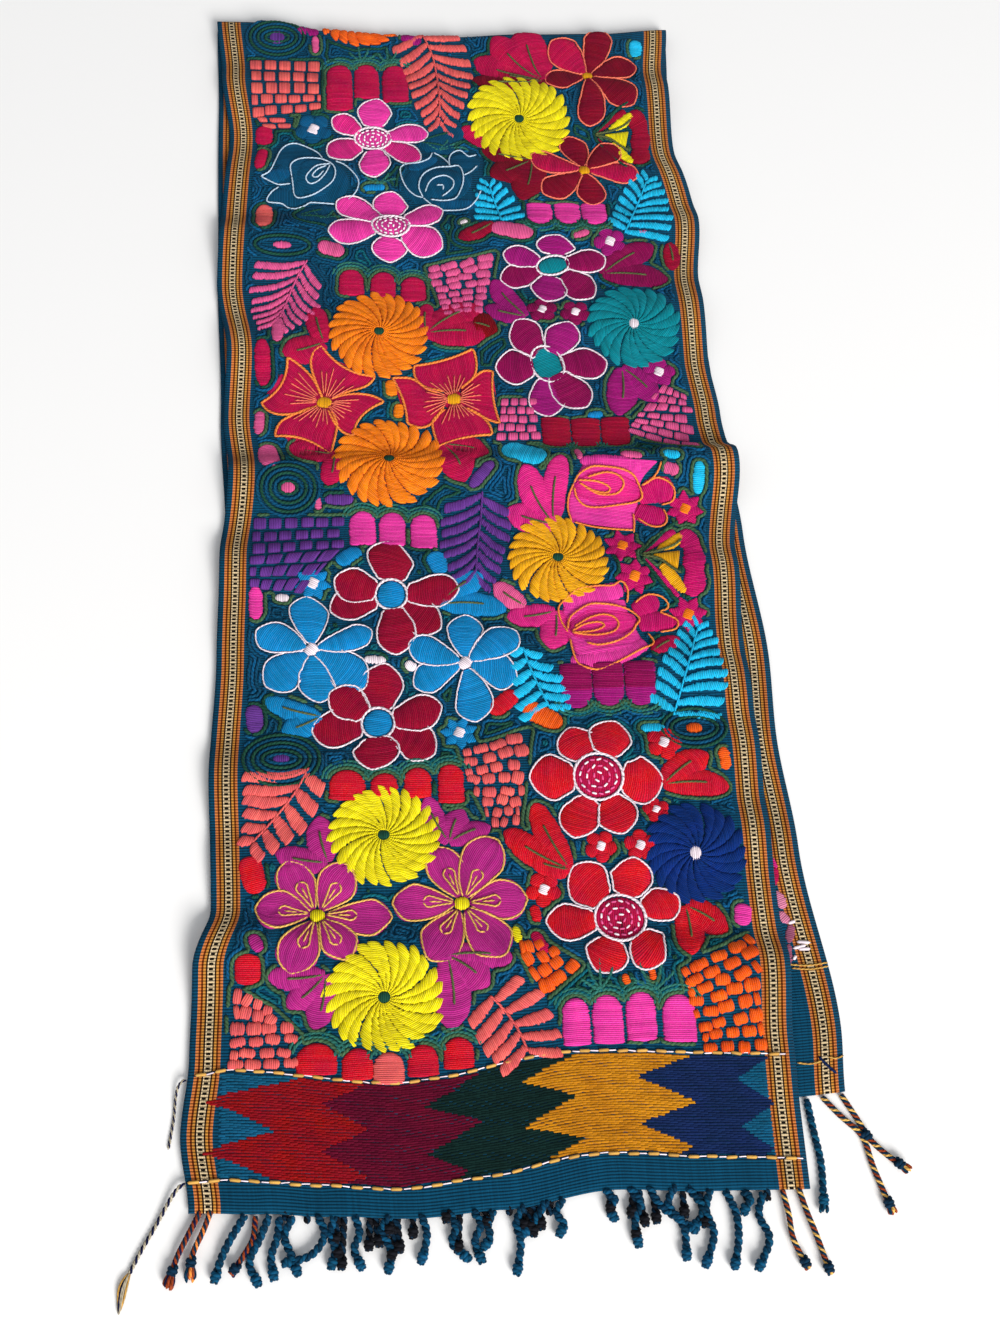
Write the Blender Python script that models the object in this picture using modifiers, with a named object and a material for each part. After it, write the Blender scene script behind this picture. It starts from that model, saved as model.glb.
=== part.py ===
"""Embroidered table runner, folded once across its length and lying on a table.

The cloth is one long woven sheet.  Its far end is the fold, its two knotted ends
lie over each other at the near end, and low ridges cross it from side to side.
The plan is laid out from the near left corner of the upper layer: x runs across
the runner, y runs from the knotted end to the fold, z is up.  PLAN_CENTRE is the
point of that plan that stands at the origin.
"""
import math
from collections import namedtuple

import bmesh
import bpy

# Driving sizes, in metres.
THICKNESS = 0.002          # cloth with its embroidery
FOLD_Y = 0.935             # where the fold lies, before its waves
FOLD_RADIUS = 0.0042       # of the middle of the cloth as it turns over
UPPER_Z = 0.0036           # middle of the upper layer where it lies flat
LOWER_Z = THICKNESS / 2    # middle of the lower layer, which lies on the table
LOWER_END_Y = 0.052        # knotted end of the lower layer
LOWER_END_RISE = 0.006     # the lower end runs back this far at its right corner
FOLD_RISE_RUN = 0.06       # length over which the upper layer climbs to the fold
PLAN_CENTRE = (0.21477, 0.44798)
GAP = 0.0003               # between pieces that touch

COLUMNS = 10
UPPER_STEP = 0.010
LOWER_STEP = 0.026
FOLD_STEPS = 5
CREASE_ROWS = (0.506, 0.514, 0.518, 0.522, 0.526, 0.534, 0.538)

# Both side edges of the upper layer, from the knotted end to the fold.
UpperEdge = namedtuple("UpperEdge", "y left right")
UPPER_EDGES = (
    UpperEdge(0.000, 0.001, 0.372), UpperEdge(0.045, -0.005, 0.372),
    UpperEdge(0.090, -0.001, 0.373), UpperEdge(0.145, 0.000, 0.375),
    UpperEdge(0.185, 0.010, 0.374), UpperEdge(0.280, 0.007, 0.374),
    UpperEdge(0.360, 0.010, 0.373), UpperEdge(0.440, 0.011, 0.375),
    UpperEdge(0.505, 0.016, 0.383), UpperEdge(0.560, 0.011, 0.377),
    UpperEdge(0.610, 0.013, 0.373), UpperEdge(0.680, 0.004, 0.373),
    UpperEdge(0.740, 0.006, 0.378), UpperEdge(0.820, 0.011, 0.366),
    UpperEdge(0.880, 0.004, 0.366), UpperEdge(0.940, -0.001, 0.371),
)

# Both side edges of the lower layer, which lies askew under the upper one.
LowerEdge = namedtuple("LowerEdge", "y left right")
LOWER_EDGES = (
    LowerEdge(0.050, 0.033, 0.402), LowerEdge(0.095, 0.036, 0.405),
    LowerEdge(0.220, 0.024, 0.393), LowerEdge(0.300, 0.018, 0.388),
    LowerEdge(0.360, 0.020, 0.390), LowerEdge(0.460, 0.014, 0.383),
    LowerEdge(0.560, 0.009, 0.375), LowerEdge(0.700, 0.004, 0.371),
    LowerEdge(0.840, 0.002, 0.366), LowerEdge(0.940, -0.001, 0.371),
)

# Waves of the two ends of the upper layer: how far each runs out at a share of the width.
EndWave = namedtuple("EndWave", "across near far")
END_WAVES = (
    EndWave(0.00, 0.000, 0.009), EndWave(0.12, -0.002, 0.009),
    EndWave(0.22, -0.005, 0.001), EndWave(0.36, -0.008, -0.004),
    EndWave(0.50, -0.005, -0.004), EndWave(0.68, 0.004, 0.001),
    EndWave(0.84, 0.001, 0.003), EndWave(1.00, 0.000, 0.009),
)
WAVE_REACH = 0.18

# Ridges that cross the upper layer: where the crest meets each side edge, its height
# above the flat at the left, middle and right, and the runs down to each foot.
Ridge = namedtuple("Ridge", "left_y right_y left middle right near_run far_run")
RIDGES = (
    Ridge(0.162, 0.138, 0.010, 0.004, 0.010, 0.050, 0.026),
    Ridge(0.216, 0.232, 0.003, 0.002, 0.005, 0.036, 0.026),
    Ridge(0.274, 0.292, 0.006, 0.003, 0.006, 0.042, 0.030),
    Ridge(0.394, 0.340, 0.003, 0.004, 0.006, 0.046, 0.030),
    Ridge(0.436, 0.424, 0.008, 0.003, 0.007, 0.040, 0.030),
    Ridge(0.508, 0.518, 0.011, 0.007, 0.017, 0.042, 0.020),
    Ridge(0.616, 0.655, 0.009, 0.004, 0.008, 0.052, 0.040),
    Ridge(0.722, 0.738, 0.010, 0.005, 0.006, 0.048, 0.026),
    Ridge(0.788, 0.786, 0.005, 0.003, 0.005, 0.036, 0.028),
    Ridge(0.868, 0.868, 0.006, 0.006, 0.009, 0.046, 0.032),
)

# Knotted fringe strands: root across the end, and where the tip lies.
Strand = namedtuple("Strand", "root tip_x tip_y")
UPPER_STRANDS = (
    Strand(0.008, -0.010, -0.042), Strand(0.015, 0.002, -0.037),
    Strand(0.027, 0.017, -0.038), Strand(0.037, 0.030, -0.034),
    Strand(0.048, 0.040, -0.042), Strand(0.060, 0.058, -0.037),
    Strand(0.075, 0.076, -0.036), Strand(0.090, 0.087, -0.032),
    Strand(0.102, 0.099, -0.035), Strand(0.115, 0.112, -0.037),
    Strand(0.126, 0.123, -0.030), Strand(0.140, 0.136, -0.033),
    Strand(0.153, 0.158, -0.033), Strand(0.168, 0.171, -0.035),
    Strand(0.180, 0.182, -0.022), Strand(0.195, 0.191, -0.041),
    Strand(0.209, 0.208, -0.016), Strand(0.222, 0.221, -0.019),
    Strand(0.252, 0.252, -0.015), Strand(0.264, 0.265, -0.030),
    Strand(0.276, 0.280, -0.022), Strand(0.289, 0.291, -0.037),
    Strand(0.301, 0.306, -0.042), Strand(0.313, 0.315, -0.020),
    Strand(0.322, 0.323, -0.042), Strand(0.332, 0.331, -0.024),
    Strand(0.342, 0.339, -0.045), Strand(0.353, 0.365, -0.045),
    Strand(0.364, 0.377, -0.048),
)
LOWER_CORNER_STRANDS = (
    Strand(0.379, 0.380, -0.013), Strand(0.389, 0.420, -0.017),
    Strand(0.399, 0.440, 0.009),
)
LOWER_ROW_START = 0.044
LOWER_ROW_STEP = 0.0131
LOWER_ROW_COUNT = 25
LOWER_ROW_TIP_Y = -0.002

SPINE_DEPTH = 0.003
STRAND_WIDTH = 0.0036
KNOT_WIDTH = 0.0056
KNOT_LENGTH = 0.007
FRINGE_THICKNESS = 0.0020
DROOP_START_Y = -0.008
DROOP_RUN = 0.020

# Loose tails of the two running-stitch lines, which leave the left edge.
RoutePoint = namedtuple("RoutePoint", "x y z")
LONG_TAIL_RADIUS = 0.0014
LONG_TAIL = (
    RoutePoint(-0.0013, 0.0165, 0.0037), RoutePoint(-0.0045, 0.0155, 0.0037),
    RoutePoint(-0.0085, 0.0105, 0.0034),
    RoutePoint(-0.0135, 0.0020, 0.0022), RoutePoint(-0.0185, -0.0070, 0.0015),
    RoutePoint(-0.0245, -0.0175, 0.0015), RoutePoint(-0.0305, -0.0290, 0.0015),
    RoutePoint(-0.0350, -0.0400, 0.0015), RoutePoint(-0.0370, -0.0540, 0.0015),
)
SHORT_TAIL_RADIUS = 0.0010
SHORT_TAIL = (
    RoutePoint(-0.0022, 0.0780, 0.0036), RoutePoint(-0.0048, 0.0775, 0.0036),
    RoutePoint(-0.0074, 0.0735, 0.0034),
    RoutePoint(-0.0086, 0.0660, 0.0022), RoutePoint(-0.0092, 0.0570, 0.0011),
    RoutePoint(-0.0104, 0.0480, 0.0011), RoutePoint(-0.0120, 0.0380, 0.0011),
)
TAIL_POINTS = 16


def smooth_step(value):
    value = min(max(value, 0.0), 1.0)
    return value * value * (3 - 2 * value)


def read_table(rows, key, column, at):
    """Value of a column at a place along the key column, eased between its rows."""
    if at <= getattr(rows[0], key):
        return getattr(rows[0], column)
    for low, high in zip(rows, rows[1:]):
        if at <= getattr(high, key):
            share = (at - getattr(low, key)) / (getattr(high, key) - getattr(low, key))
            start, end = getattr(low, column), getattr(high, column)
            return start + (end - start) * smooth_step(share)
    return getattr(rows[-1], column)


def end_wave(across, y):
    """How far the waves of the two ends carry a point along the runner."""
    near = read_table(END_WAVES, "across", "near", across)
    far = read_table(END_WAVES, "across", "far", across)
    return near * smooth_step(1 - y / WAVE_REACH) + far * smooth_step(1 - (FOLD_Y - y) / WAVE_REACH)


def ridge_height(across, y):
    """Height of the ridges over the flat, summed where two run together."""
    total = 0.0
    for ridge in RIDGES:
        crest = ridge.left_y + (ridge.right_y - ridge.left_y) * across
        height = (ridge.left * (1 - across) * (1 - 2 * across)
                  + ridge.middle * 4 * across * (1 - across)
                  + ridge.right * across * (2 * across - 1))
        run = ridge.near_run if y < crest else ridge.far_run
        distance = min(abs(y - crest) / run, 1.0)
        total += height * (1 + math.cos(math.pi * distance)) / 2
    return total


def upper_point(across, y):
    left = read_table(UPPER_EDGES, "y", "left", y)
    right = read_table(UPPER_EDGES, "y", "right", y)
    climb = smooth_step(1 - (FOLD_Y - FOLD_RADIUS - y) / FOLD_RISE_RUN)
    top = LOWER_Z + 2 * FOLD_RADIUS
    z = UPPER_Z + (top - UPPER_Z) * climb + ridge_height(across, y)
    return left + (right - left) * across, y + end_wave(across, y), z


def fold_point(across, turn):
    """A point on the rounded fold; turn runs from 0 on the upper layer to 1 on the lower."""
    base_y = FOLD_Y - FOLD_RADIUS
    x, y, _ = upper_point(across, base_y)
    angle = math.pi * (0.5 - turn)
    return x, y + FOLD_RADIUS * math.cos(angle), LOWER_Z + FOLD_RADIUS * (1 + math.sin(angle))


def lower_point(across, y):
    left = read_table(LOWER_EDGES, "y", "left", y)
    right = read_table(LOWER_EDGES, "y", "right", y)
    far = read_table(END_WAVES, "across", "far", across)
    wave = far * smooth_step(1 - (FOLD_Y - y) / WAVE_REACH)
    rise = LOWER_END_RISE * across ** 6 * smooth_step(1 - (y - LOWER_END_Y) / WAVE_REACH)
    return left + (right - left) * across, y + wave + rise, LOWER_Z


def section_rows():
    """Each row of the folded section as a function of the share across the runner."""
    turn_y = FOLD_Y - FOLD_RADIUS
    steps = round(turn_y / UPPER_STEP)
    upper = sorted({turn_y * i / steps for i in range(steps + 1)} | set(CREASE_ROWS))
    rows = [lambda across, y=y: upper_point(across, y) for y in upper]
    for step in range(1, FOLD_STEPS):
        rows.append(lambda across, turn=step / FOLD_STEPS: fold_point(across, turn))
    length = turn_y - LOWER_END_Y
    steps = round(length / LOWER_STEP)
    for step in range(steps + 1):
        rows.append(lambda across, y=turn_y - length * step / steps: lower_point(across, y))
    return rows


def place(x, y, z):
    return x - PLAN_CENTRE[0], y - PLAN_CENTRE[1], z


def make_material(name, colour, roughness):
    material = bpy.data.materials.new(name)
    material.use_nodes = True
    shader = material.node_tree.nodes["Principled BSDF"]
    shader.inputs["Base Color"].default_value = (*colour, 1.0)
    shader.inputs["Roughness"].default_value = roughness
    shader.inputs["Metallic"].default_value = 0.0
    return material


def add_object(name, data, material, collection):
    piece = bpy.data.objects.new(name, data)
    data.materials.append(material)
    collection.objects.link(piece)
    return piece


def build_cloth(material, collection):
    """The whole sheet: a grid bent along the folded section, then given its thickness."""
    rows = section_rows()
    bm = bmesh.new()
    bmesh.ops.create_grid(bm, x_segments=COLUMNS, y_segments=len(rows) - 1, size=0.5)
    for vert in bm.verts:
        row = rows[round((vert.co.y + 0.5) * (len(rows) - 1))]
        vert.co = place(*row(vert.co.x + 0.5))
    mesh = bpy.data.meshes.new("runner_cloth")
    bm.to_mesh(mesh)
    bm.free()
    cloth = add_object("runner_cloth", mesh, material, collection)
    solid = cloth.modifiers.new("cloth thickness", "SOLIDIFY")
    solid.thickness = THICKNESS
    solid.offset = 0.0
    return cloth


def strand_outline(root_x, root_y, tip_x, tip_y):
    """Plan of one strand, down its left side and back up its right side."""
    length = math.hypot(tip_x - root_x, tip_y - root_y)
    along = ((tip_x - root_x) / length, (tip_y - root_y) / length)
    side = (along[1], -along[0])
    knot = min(KNOT_LENGTH, length / 3)
    stations = (
        (length - 2 * knot, STRAND_WIDTH), (length - 1.4 * knot, KNOT_WIDTH),
        (length - knot, STRAND_WIDTH), (length, KNOT_WIDTH),
    )
    left = [(root_x - STRAND_WIDTH / 2, root_y)]
    right = [(root_x + STRAND_WIDTH / 2, root_y)]
    for reach, width in stations:
        x = root_x + along[0] * reach
        y = root_y + along[1] * reach
        left.append((x + side[0] * width / 2, y + side[1] * width / 2))
        right.append((x - side[0] * width / 2, y - side[1] * width / 2))
    return left + right[::-1]


def build_fringe(name, edge, strands, base_z, droop, material, collection):
    """A comb along one knotted end: a narrow spine with a tooth for each strand."""
    edge_points = [edge(i / COLUMNS) for i in range(COLUMNS + 1)]

    def edge_y(x):
        for low, high in zip(edge_points, edge_points[1:]):
            if x <= high[0]:
                return low[1] + (high[1] - low[1]) * (x - low[0]) / (high[0] - low[0])
        return edge_points[-1][1]

    outline = [(x, y - GAP) for x, y, _ in reversed(edge_points)]
    corners = [(x, y - GAP - SPINE_DEPTH) for x, y, _ in edge_points]
    outline.append(corners[0])
    for strand in strands:
        root_y = edge_y(strand.root) - GAP - SPINE_DEPTH
        outline += strand_outline(strand.root, root_y, strand.tip_x, strand.tip_y)
    outline.append(corners[-1])

    curve = bpy.data.curves.new(name, "CURVE")
    curve.dimensions = "2D"
    curve.fill_mode = "BOTH"
    curve.extrude = FRINGE_THICKNESS / 2
    spline = curve.splines.new("POLY")
    spline.points.add(len(outline) - 1)
    for point, (x, y) in zip(spline.points, outline):
        point.co = (x, y, 0.0, 1.0)
    spline.use_cyclic_u = True
    flat = bpy.data.objects.new(name + " outline", curve)
    collection.objects.link(flat)
    graph = bpy.context.evaluated_depsgraph_get()
    mesh = bpy.data.meshes.new_from_object(flat.evaluated_get(graph))
    bpy.data.objects.remove(flat)

    bm = bmesh.new()
    bm.from_mesh(mesh)
    bmesh.ops.remove_doubles(bm, verts=bm.verts, dist=0.00001)
    bmesh.ops.dissolve_limit(bm, angle_limit=math.radians(0.1), verts=bm.verts, edges=bm.edges)
    bmesh.ops.triangulate(bm, faces=bm.faces, quad_method="BEAUTY", ngon_method="BEAUTY")
    for vert in bm.verts:
        sink = droop * smooth_step((DROOP_START_Y - vert.co.y) / DROOP_RUN)
        vert.co = place(vert.co.x, vert.co.y, vert.co.z + base_z + FRINGE_THICKNESS / 2 - sink)
    bmesh.ops.recalc_face_normals(bm, faces=bm.faces)
    bm.to_mesh(mesh)
    bm.free()
    mesh.name = name
    return add_object(name, mesh, material, collection)


def smooth_route(route, count):
    """Evenly read points of a smooth curve through the route's own points."""
    points = []
    last = len(route) - 1
    for i in range(count):
        place_on = last * i / (count - 1)
        index = min(int(place_on), last - 1)
        t = place_on - index
        p0, p1 = route[max(index - 1, 0)], route[index]
        p2, p3 = route[index + 1], route[min(index + 2, last)]
        points.append(tuple(
            0.5 * (2 * b + (c - a) * t + (2 * a - 5 * b + 4 * c - d) * t ** 2
                   + (3 * b - a - 3 * c + d) * t ** 3)
            for a, b, c, d in zip(p0, p1, p2, p3)))
    return points


def build_tail(name, route, radius, material, collection):
    """A loose stitching tail: a round cord along its smoothed route."""
    curve = bpy.data.curves.new(name, "CURVE")
    curve.dimensions = "3D"
    curve.bevel_depth = radius
    curve.bevel_resolution = 2
    curve.use_fill_caps = True
    spline = curve.splines.new("POLY")
    points = smooth_route(route, TAIL_POINTS)
    spline.points.add(len(points) - 1)
    for point, co in zip(spline.points, points):
        point.co = (*place(*co), 1.0)
    return add_object(name, curve, material, collection)


def main():
    for old in list(bpy.data.objects):
        bpy.data.objects.remove(old)
    collection = bpy.data.collections.new("embroidered table runner")
    bpy.context.scene.collection.children.link(collection)

    teal = make_material("teal cotton", (0.007, 0.102, 0.178), 0.9)
    fringe = make_material("fringe yarn", (0.010, 0.090, 0.150), 0.9)
    thread = make_material("stitching thread", (0.450, 0.360, 0.200), 0.8)

    build_cloth(teal, collection)
    build_fringe("fringe_upper", lambda across: upper_point(across, 0.0), UPPER_STRANDS,
                 UPPER_Z - FRINGE_THICKNESS / 2, UPPER_Z - FRINGE_THICKNESS / 2,
                 fringe, collection)
    lower_row = [Strand(LOWER_ROW_START + LOWER_ROW_STEP * i,
                        LOWER_ROW_START + LOWER_ROW_STEP * i, LOWER_ROW_TIP_Y)
                 for i in range(LOWER_ROW_COUNT)]
    build_fringe("fringe_lower", lambda across: lower_point(across, LOWER_END_Y),
                 lower_row + list(LOWER_CORNER_STRANDS), 0.0, 0.0, fringe, collection)
    build_tail("stitch_tail_long", LONG_TAIL, LONG_TAIL_RADIUS, thread, collection)
    build_tail("stitch_tail_short", SHORT_TAIL, SHORT_TAIL_RADIUS, thread, collection)


main()
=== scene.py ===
"""Embroidered table runner, folded once and lying on a table.

The cloth is a grid bent along the folded section and given its thickness.  Every
stitch is a closed tube shaped on the flat plan, in millimetres, and then draped on
the cloth; the strands and loose tails lie free.  The plan runs from the near left
corner of the upper layer: x across the runner, y from the knotted end to the fold.
"""
import functools
from collections import namedtuple
from math import atan2, cos, degrees, hypot, pi, radians, sin

import bpy
import numpy as np
from mathutils import Matrix


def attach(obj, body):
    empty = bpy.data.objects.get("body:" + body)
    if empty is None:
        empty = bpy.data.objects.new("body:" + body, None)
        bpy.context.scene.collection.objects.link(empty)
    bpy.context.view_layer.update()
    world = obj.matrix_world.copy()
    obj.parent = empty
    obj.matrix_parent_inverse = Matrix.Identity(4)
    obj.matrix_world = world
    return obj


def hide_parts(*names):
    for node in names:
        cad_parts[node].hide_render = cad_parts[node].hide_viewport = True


bl_info = {
    "name": "Embroidered Table Runner",
    "version": (1, 0, 0),
    "blender": (4, 5, 0),
    "location": "View3D > Sidebar > Runner",
    "description": "Makes a folded table runner with padded wool embroidery and a knotted fringe",
    "category": "Object",
}

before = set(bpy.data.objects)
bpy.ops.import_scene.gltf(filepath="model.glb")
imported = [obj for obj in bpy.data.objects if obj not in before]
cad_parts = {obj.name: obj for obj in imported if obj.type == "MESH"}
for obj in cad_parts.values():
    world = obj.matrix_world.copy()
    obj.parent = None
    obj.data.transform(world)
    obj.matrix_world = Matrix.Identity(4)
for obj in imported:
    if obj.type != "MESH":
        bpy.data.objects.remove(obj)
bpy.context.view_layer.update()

MM = 0.001
PLAN_CENTRE = (0.21477, 0.44798)
WIDTH = 0.370               # of the cloth laid flat
FOLD_Y = 0.935              # where the fold lies, before its waves
FOLD_RISE_RUN = 0.06        # length over which the upper layer climbs to the fold
UPPER_Z = 0.0037            # middle of the upper layer where it lies flat
LOWER_Z = 0.0019            # middle of the lower layer
LOWER_END_Y = 0.052
LOWER_END_RISE = 0.006
WAVE_REACH = 0.18
TABLE_GAP = 0.0001

# The cloth's lie, in millimetres.  Side edges of the upper layer: y, left, right.
UPPER_EDGES = np.array((
    (0, 1, 372), (45, -5, 372), (90, -1, 373), (145, 0, 375), (185, 10, 374), (280, 7, 374), (360, 10, 373),
    (440, 11, 375), (505, 16, 383), (560, 11, 377), (610, 13, 373), (680, 4, 373), (740, 6, 378),
    (820, 11, 366), (880, 4, 366), (940, -1, 371),
)) / 1000
# Side edges of the lower layer: y, left, right.
LOWER_EDGES = np.array((
    (50, 33, 402), (95, 36, 405), (220, 24, 393), (300, 18, 388), (360, 20, 390), (460, 14, 383),
    (560, 9, 375), (700, 4, 371), (840, 2, 366), (940, -1, 371),
)) / 1000
# Waves of the two ends: thousandths of the width, run out at the knotted end, run out at the fold.
END_WAVES = np.array((
    (0, 0, 9), (120, -2, 9), (220, -5, 1), (360, -8, -4), (500, -5, -4), (680, 4, 1), (840, 1, 3),
    (1000, 0, 9),
)) / 1000
# Ridges across the upper layer: crest at the left and right edge, height at the left,
# middle and right, and the run down to the near and far foot.
RIDGES = np.array((
    (162, 138, 10, 4, 10, 50, 26), (216, 232, 3, 2, 5, 36, 26), (274, 292, 6, 3, 6, 42, 30),
    (394, 340, 3, 4, 6, 46, 30), (436, 424, 8, 3, 7, 40, 30), (508, 518, 11, 7, 17, 42, 20),
    (616, 655, 9, 4, 8, 52, 40), (722, 738, 10, 5, 6, 48, 26), (788, 786, 5, 3, 5, 36, 28),
    (868, 868, 6, 6, 9, 46, 32),
)) / 1000

# Yarn colours, as hexadecimal red, green and blue.
YARNS = {
    "teal": "0a4c6c", "petrol": "084668", "pine": "1c4a3c", "moss": "56603c", "lemon": "e6d80a",
    "gold": "e8a60a", "marigold": "f07f04", "brick": "ea5a0a", "orange": "f2640c", "apricot": "f08a3c",
    "peach": "f57c60", "coral": "e0605c", "salmon": "d6548a", "mauve": "94506a", "blush": "d07a9a",
    "scarlet": "c80a1c", "crimson": "94042a", "ruby": "80060a", "garnet": "7c0622", "wine": "540520",
    "cerise": "b60542", "berry": "88084c", "rose": "d8247f", "fuchsia": "be0c60", "pink": "e4389c",
    "magenta": "b0267f", "plum": "9a1470", "violet": "623488", "navy": "082a70", "indigo": "10224c",
    "blue": "0480c2", "cyan": "14b4e4", "turquoise": "027f8e", "forest": "0b2220", "honey": "b4760a",
    "rust": "93401c", "flax": "c79a4c", "straw": "e3b45c", "tow": "b4aa94", "ice": "c3d9ee",
    "white": "efe0ea", "deep": "0a2a42", "ocean": "08527e", "lagoon": "0b5c6c", "fir": "3f6044",
    "sage": "2c6a60", "dusk": "06304a", "midnight": "14183f", "shade_black": "15161c",
}


def hex_colour(code):
    """Linear red, green, blue and alpha of a hexadecimal colour."""
    parts = [int(code[i:i + 2], 16) / 255 for i in (0, 2, 4)]
    linear = [p / 12.92 if p <= 0.04045 else ((p + 0.055) / 1.055) ** 2.4 for p in parts]
    return (*linear, 1.0)


# ---- settings

def number_setting(name, description, default, least=0.0, **kind):
    return bpy.props.FloatProperty(name=name, description=description, default=default, min=least, **kind)


def length_setting(name, description, default):
    return number_setting(name, description, default, subtype="DISTANCE", unit="LENGTH")


class RunnerCloth(bpy.types.PropertyGroup):
    """Sizes of the woven cloth"""
    thickness: length_setting("Thickness", "Thickness of the woven cloth", 0.0012)
    fold_radius: length_setting("Fold radius", "Radius of the middle of the cloth at the fold", 0.0038)
    columns: bpy.props.IntProperty(name="Columns", description="Faces across the cloth", default=84, min=8)
    row_length: length_setting("Row length", "Length of a face along the cloth", 0.0045)
    stripe_inset: length_setting("Stripe inset", "Plain margin outside the border stripes", 0.0038)
    stripe_width: length_setting("Stripe width", "Width of the border stripes together", 0.015)


class RunnerYarn(bpy.types.PropertyGroup):
    """Sizes of the embroidery yarn"""
    pitch: number_setting("Pitch", "Width of one laid thread, in millimetres", 1.25, 0.4)
    groove: number_setting("Groove", "Depth between two threads, in millimetres", 0.28)
    unevenness: number_setting("Unevenness", "How far thread ends stray, in millimetres", 0.28)
    shade_spread: number_setting("Shade spread", "Difference in shade between threads", 0.32, max=1.0,
                                 subtype="FACTOR")


class RunnerColours(bpy.types.PropertyGroup):
    """Colour of each yarn"""
    __annotations__ = {
        name: bpy.props.FloatVectorProperty(
            name=name.capitalize(), description=f"Colour of the {name} yarn", subtype="COLOR", size=4,
            min=0.0, max=1.0, default=hex_colour(code))
        for name, code in YARNS.items()
    }


class RunnerStage(bpy.types.PropertyGroup):
    """Floor, lights and camera"""
    floor_size: length_setting("Floor size", "Side of the pale floor", 12.0)
    ambient: number_setting("Ambient", "Strength of the light from all round", 0.47)
    key_power: number_setting("Key power", "Power of the key light", 485.0, subtype="POWER", unit="POWER")
    key_size: length_setting("Key size", "Side of the soft key light", 2.6)
    lens: number_setting("Lens", "Focal length of the camera, in millimetres", 47.67, 1.0)


def settings(name):
    return getattr(bpy.context.scene, name)


# ---- the lie of the cloth

def smooth_step(value):
    value = np.clip(value, 0.0, 1.0)
    return value * value * (3 - 2 * value)


def read_table(rows, column, at):
    """A column of a table at places along its first column, eased between the rows."""
    index = np.clip(np.searchsorted(rows[:, 0], at) - 1, 0, len(rows) - 2)
    share = (at - rows[index, 0]) / (rows[index + 1, 0] - rows[index, 0])
    start, end = rows[index, column], rows[index + 1, column]
    return start + (end - start) * smooth_step(share)


def near_wave(across, y):
    return read_table(END_WAVES, 1, across) * smooth_step(1 - y / WAVE_REACH)


def far_wave(across, y):
    return read_table(END_WAVES, 2, across) * smooth_step(1 - (FOLD_Y - y) / WAVE_REACH)


def ridge_height(across, y):
    """Height of the ridges over the flat, summed where two run together."""
    total = np.zeros(np.broadcast(across, y).shape)
    for left_y, right_y, left, middle, right, near_run, far_run in RIDGES:
        crest = left_y + (right_y - left_y) * across
        height = (left * (1 - across) * (1 - 2 * across) + middle * 4 * across * (1 - across)
                  + right * across * (2 * across - 1))
        run = np.where(y < crest, near_run, far_run)
        distance = np.minimum(np.abs(y - crest) / run, 1.0)
        total += height * (1 + np.cos(pi * distance)) / 2
    return total


def cloth_point(across, run):
    """Middle of the cloth at a share of its width and a run from its upper knotted end."""
    radius = settings("runner_cloth").fold_radius
    turn_y = FOLD_Y - radius
    y = np.minimum(run, turn_y)
    left, right = read_table(UPPER_EDGES, 1, y), read_table(UPPER_EDGES, 2, y)
    climb = smooth_step(1 - (turn_y - y) / FOLD_RISE_RUN)
    x = left + (right - left) * across
    z = UPPER_Z + (LOWER_Z + 2 * radius - UPPER_Z) * climb + ridge_height(across, y)
    turn = np.clip((run - turn_y) / radius, 0.0, pi)
    upper_y = y + near_wave(across, y) + far_wave(across, y) + radius * np.sin(turn)
    z = z - radius * (1 - np.cos(turn))
    back = np.maximum(run - turn_y - pi * radius, 0.0)
    y = turn_y - back
    left, right = read_table(LOWER_EDGES, 1, y), read_table(LOWER_EDGES, 2, y)
    rise = LOWER_END_RISE * across ** 6 * smooth_step(1 - (y - LOWER_END_Y) / WAVE_REACH)
    under = back > 0
    x = np.where(under, left + (right - left) * across, x)
    y = np.where(under, y + far_wave(across, y) + rise, upper_y)
    z = np.where(under, LOWER_Z, z)
    return np.stack(np.broadcast_arrays(x, y, z), axis=-1)


def in_frame(plan_points):
    """Points in metres over the plan, moved to the frame's origin."""
    return plan_points - np.array((*PLAN_CENTRE, 0.0))


def raise_from_cloth(across, run, lift):
    """Points lifted square off the middle of the cloth, in the frame."""
    step = 0.0005
    over = cloth_point(across + step / WIDTH, run) - cloth_point(across - step / WIDTH, run)
    along = cloth_point(across, run + step) - cloth_point(across, run - step)
    normal = unit(np.cross(over, along))
    return in_frame(cloth_point(across, run) + normal * lift[..., None])


def drape(points):
    """Plan points and their lift off the middle of the cloth, laid on the upper layer."""
    x, y, lift = points.T
    run = y
    for _ in range(4):
        left, right = read_table(UPPER_EDGES, 1, run), read_table(UPPER_EDGES, 2, run)
        across = (x - left) / (right - left)
        run = y - near_wave(across, run) - far_wave(across, run)
    points = raise_from_cloth(across, run, lift)
    points[:, 2] = np.maximum(points[:, 2], TABLE_GAP)     # nothing at the fold goes into the table
    return points


def lie_low(points):
    """Plan points and their lift, laid on the part of the lower layer that shows beside the upper."""
    return in_frame(points + np.array((0.0, 0.0, LOWER_Z)))


# ---- meshes

def clear_selection():
    bpy.ops.object.select_all(action="DESELECT")


def read_array(collection, name, width=1, kind=np.float32):
    """One value, or a row of values, of each item of a mesh."""
    values = np.empty(len(collection) * width, kind)
    collection.foreach_get(name, values)
    return values.reshape(-1, width) if width > 1 else values


def read_points(mesh):
    return read_array(mesh.vertices, "co", 3).astype(float)


def write_points(mesh, points):
    mesh.vertices.foreach_set("co", np.asarray(points, np.float32).ravel())
    mesh.update()


def rename(piece, name):
    piece.name = name
    piece.data.name = name


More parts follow.
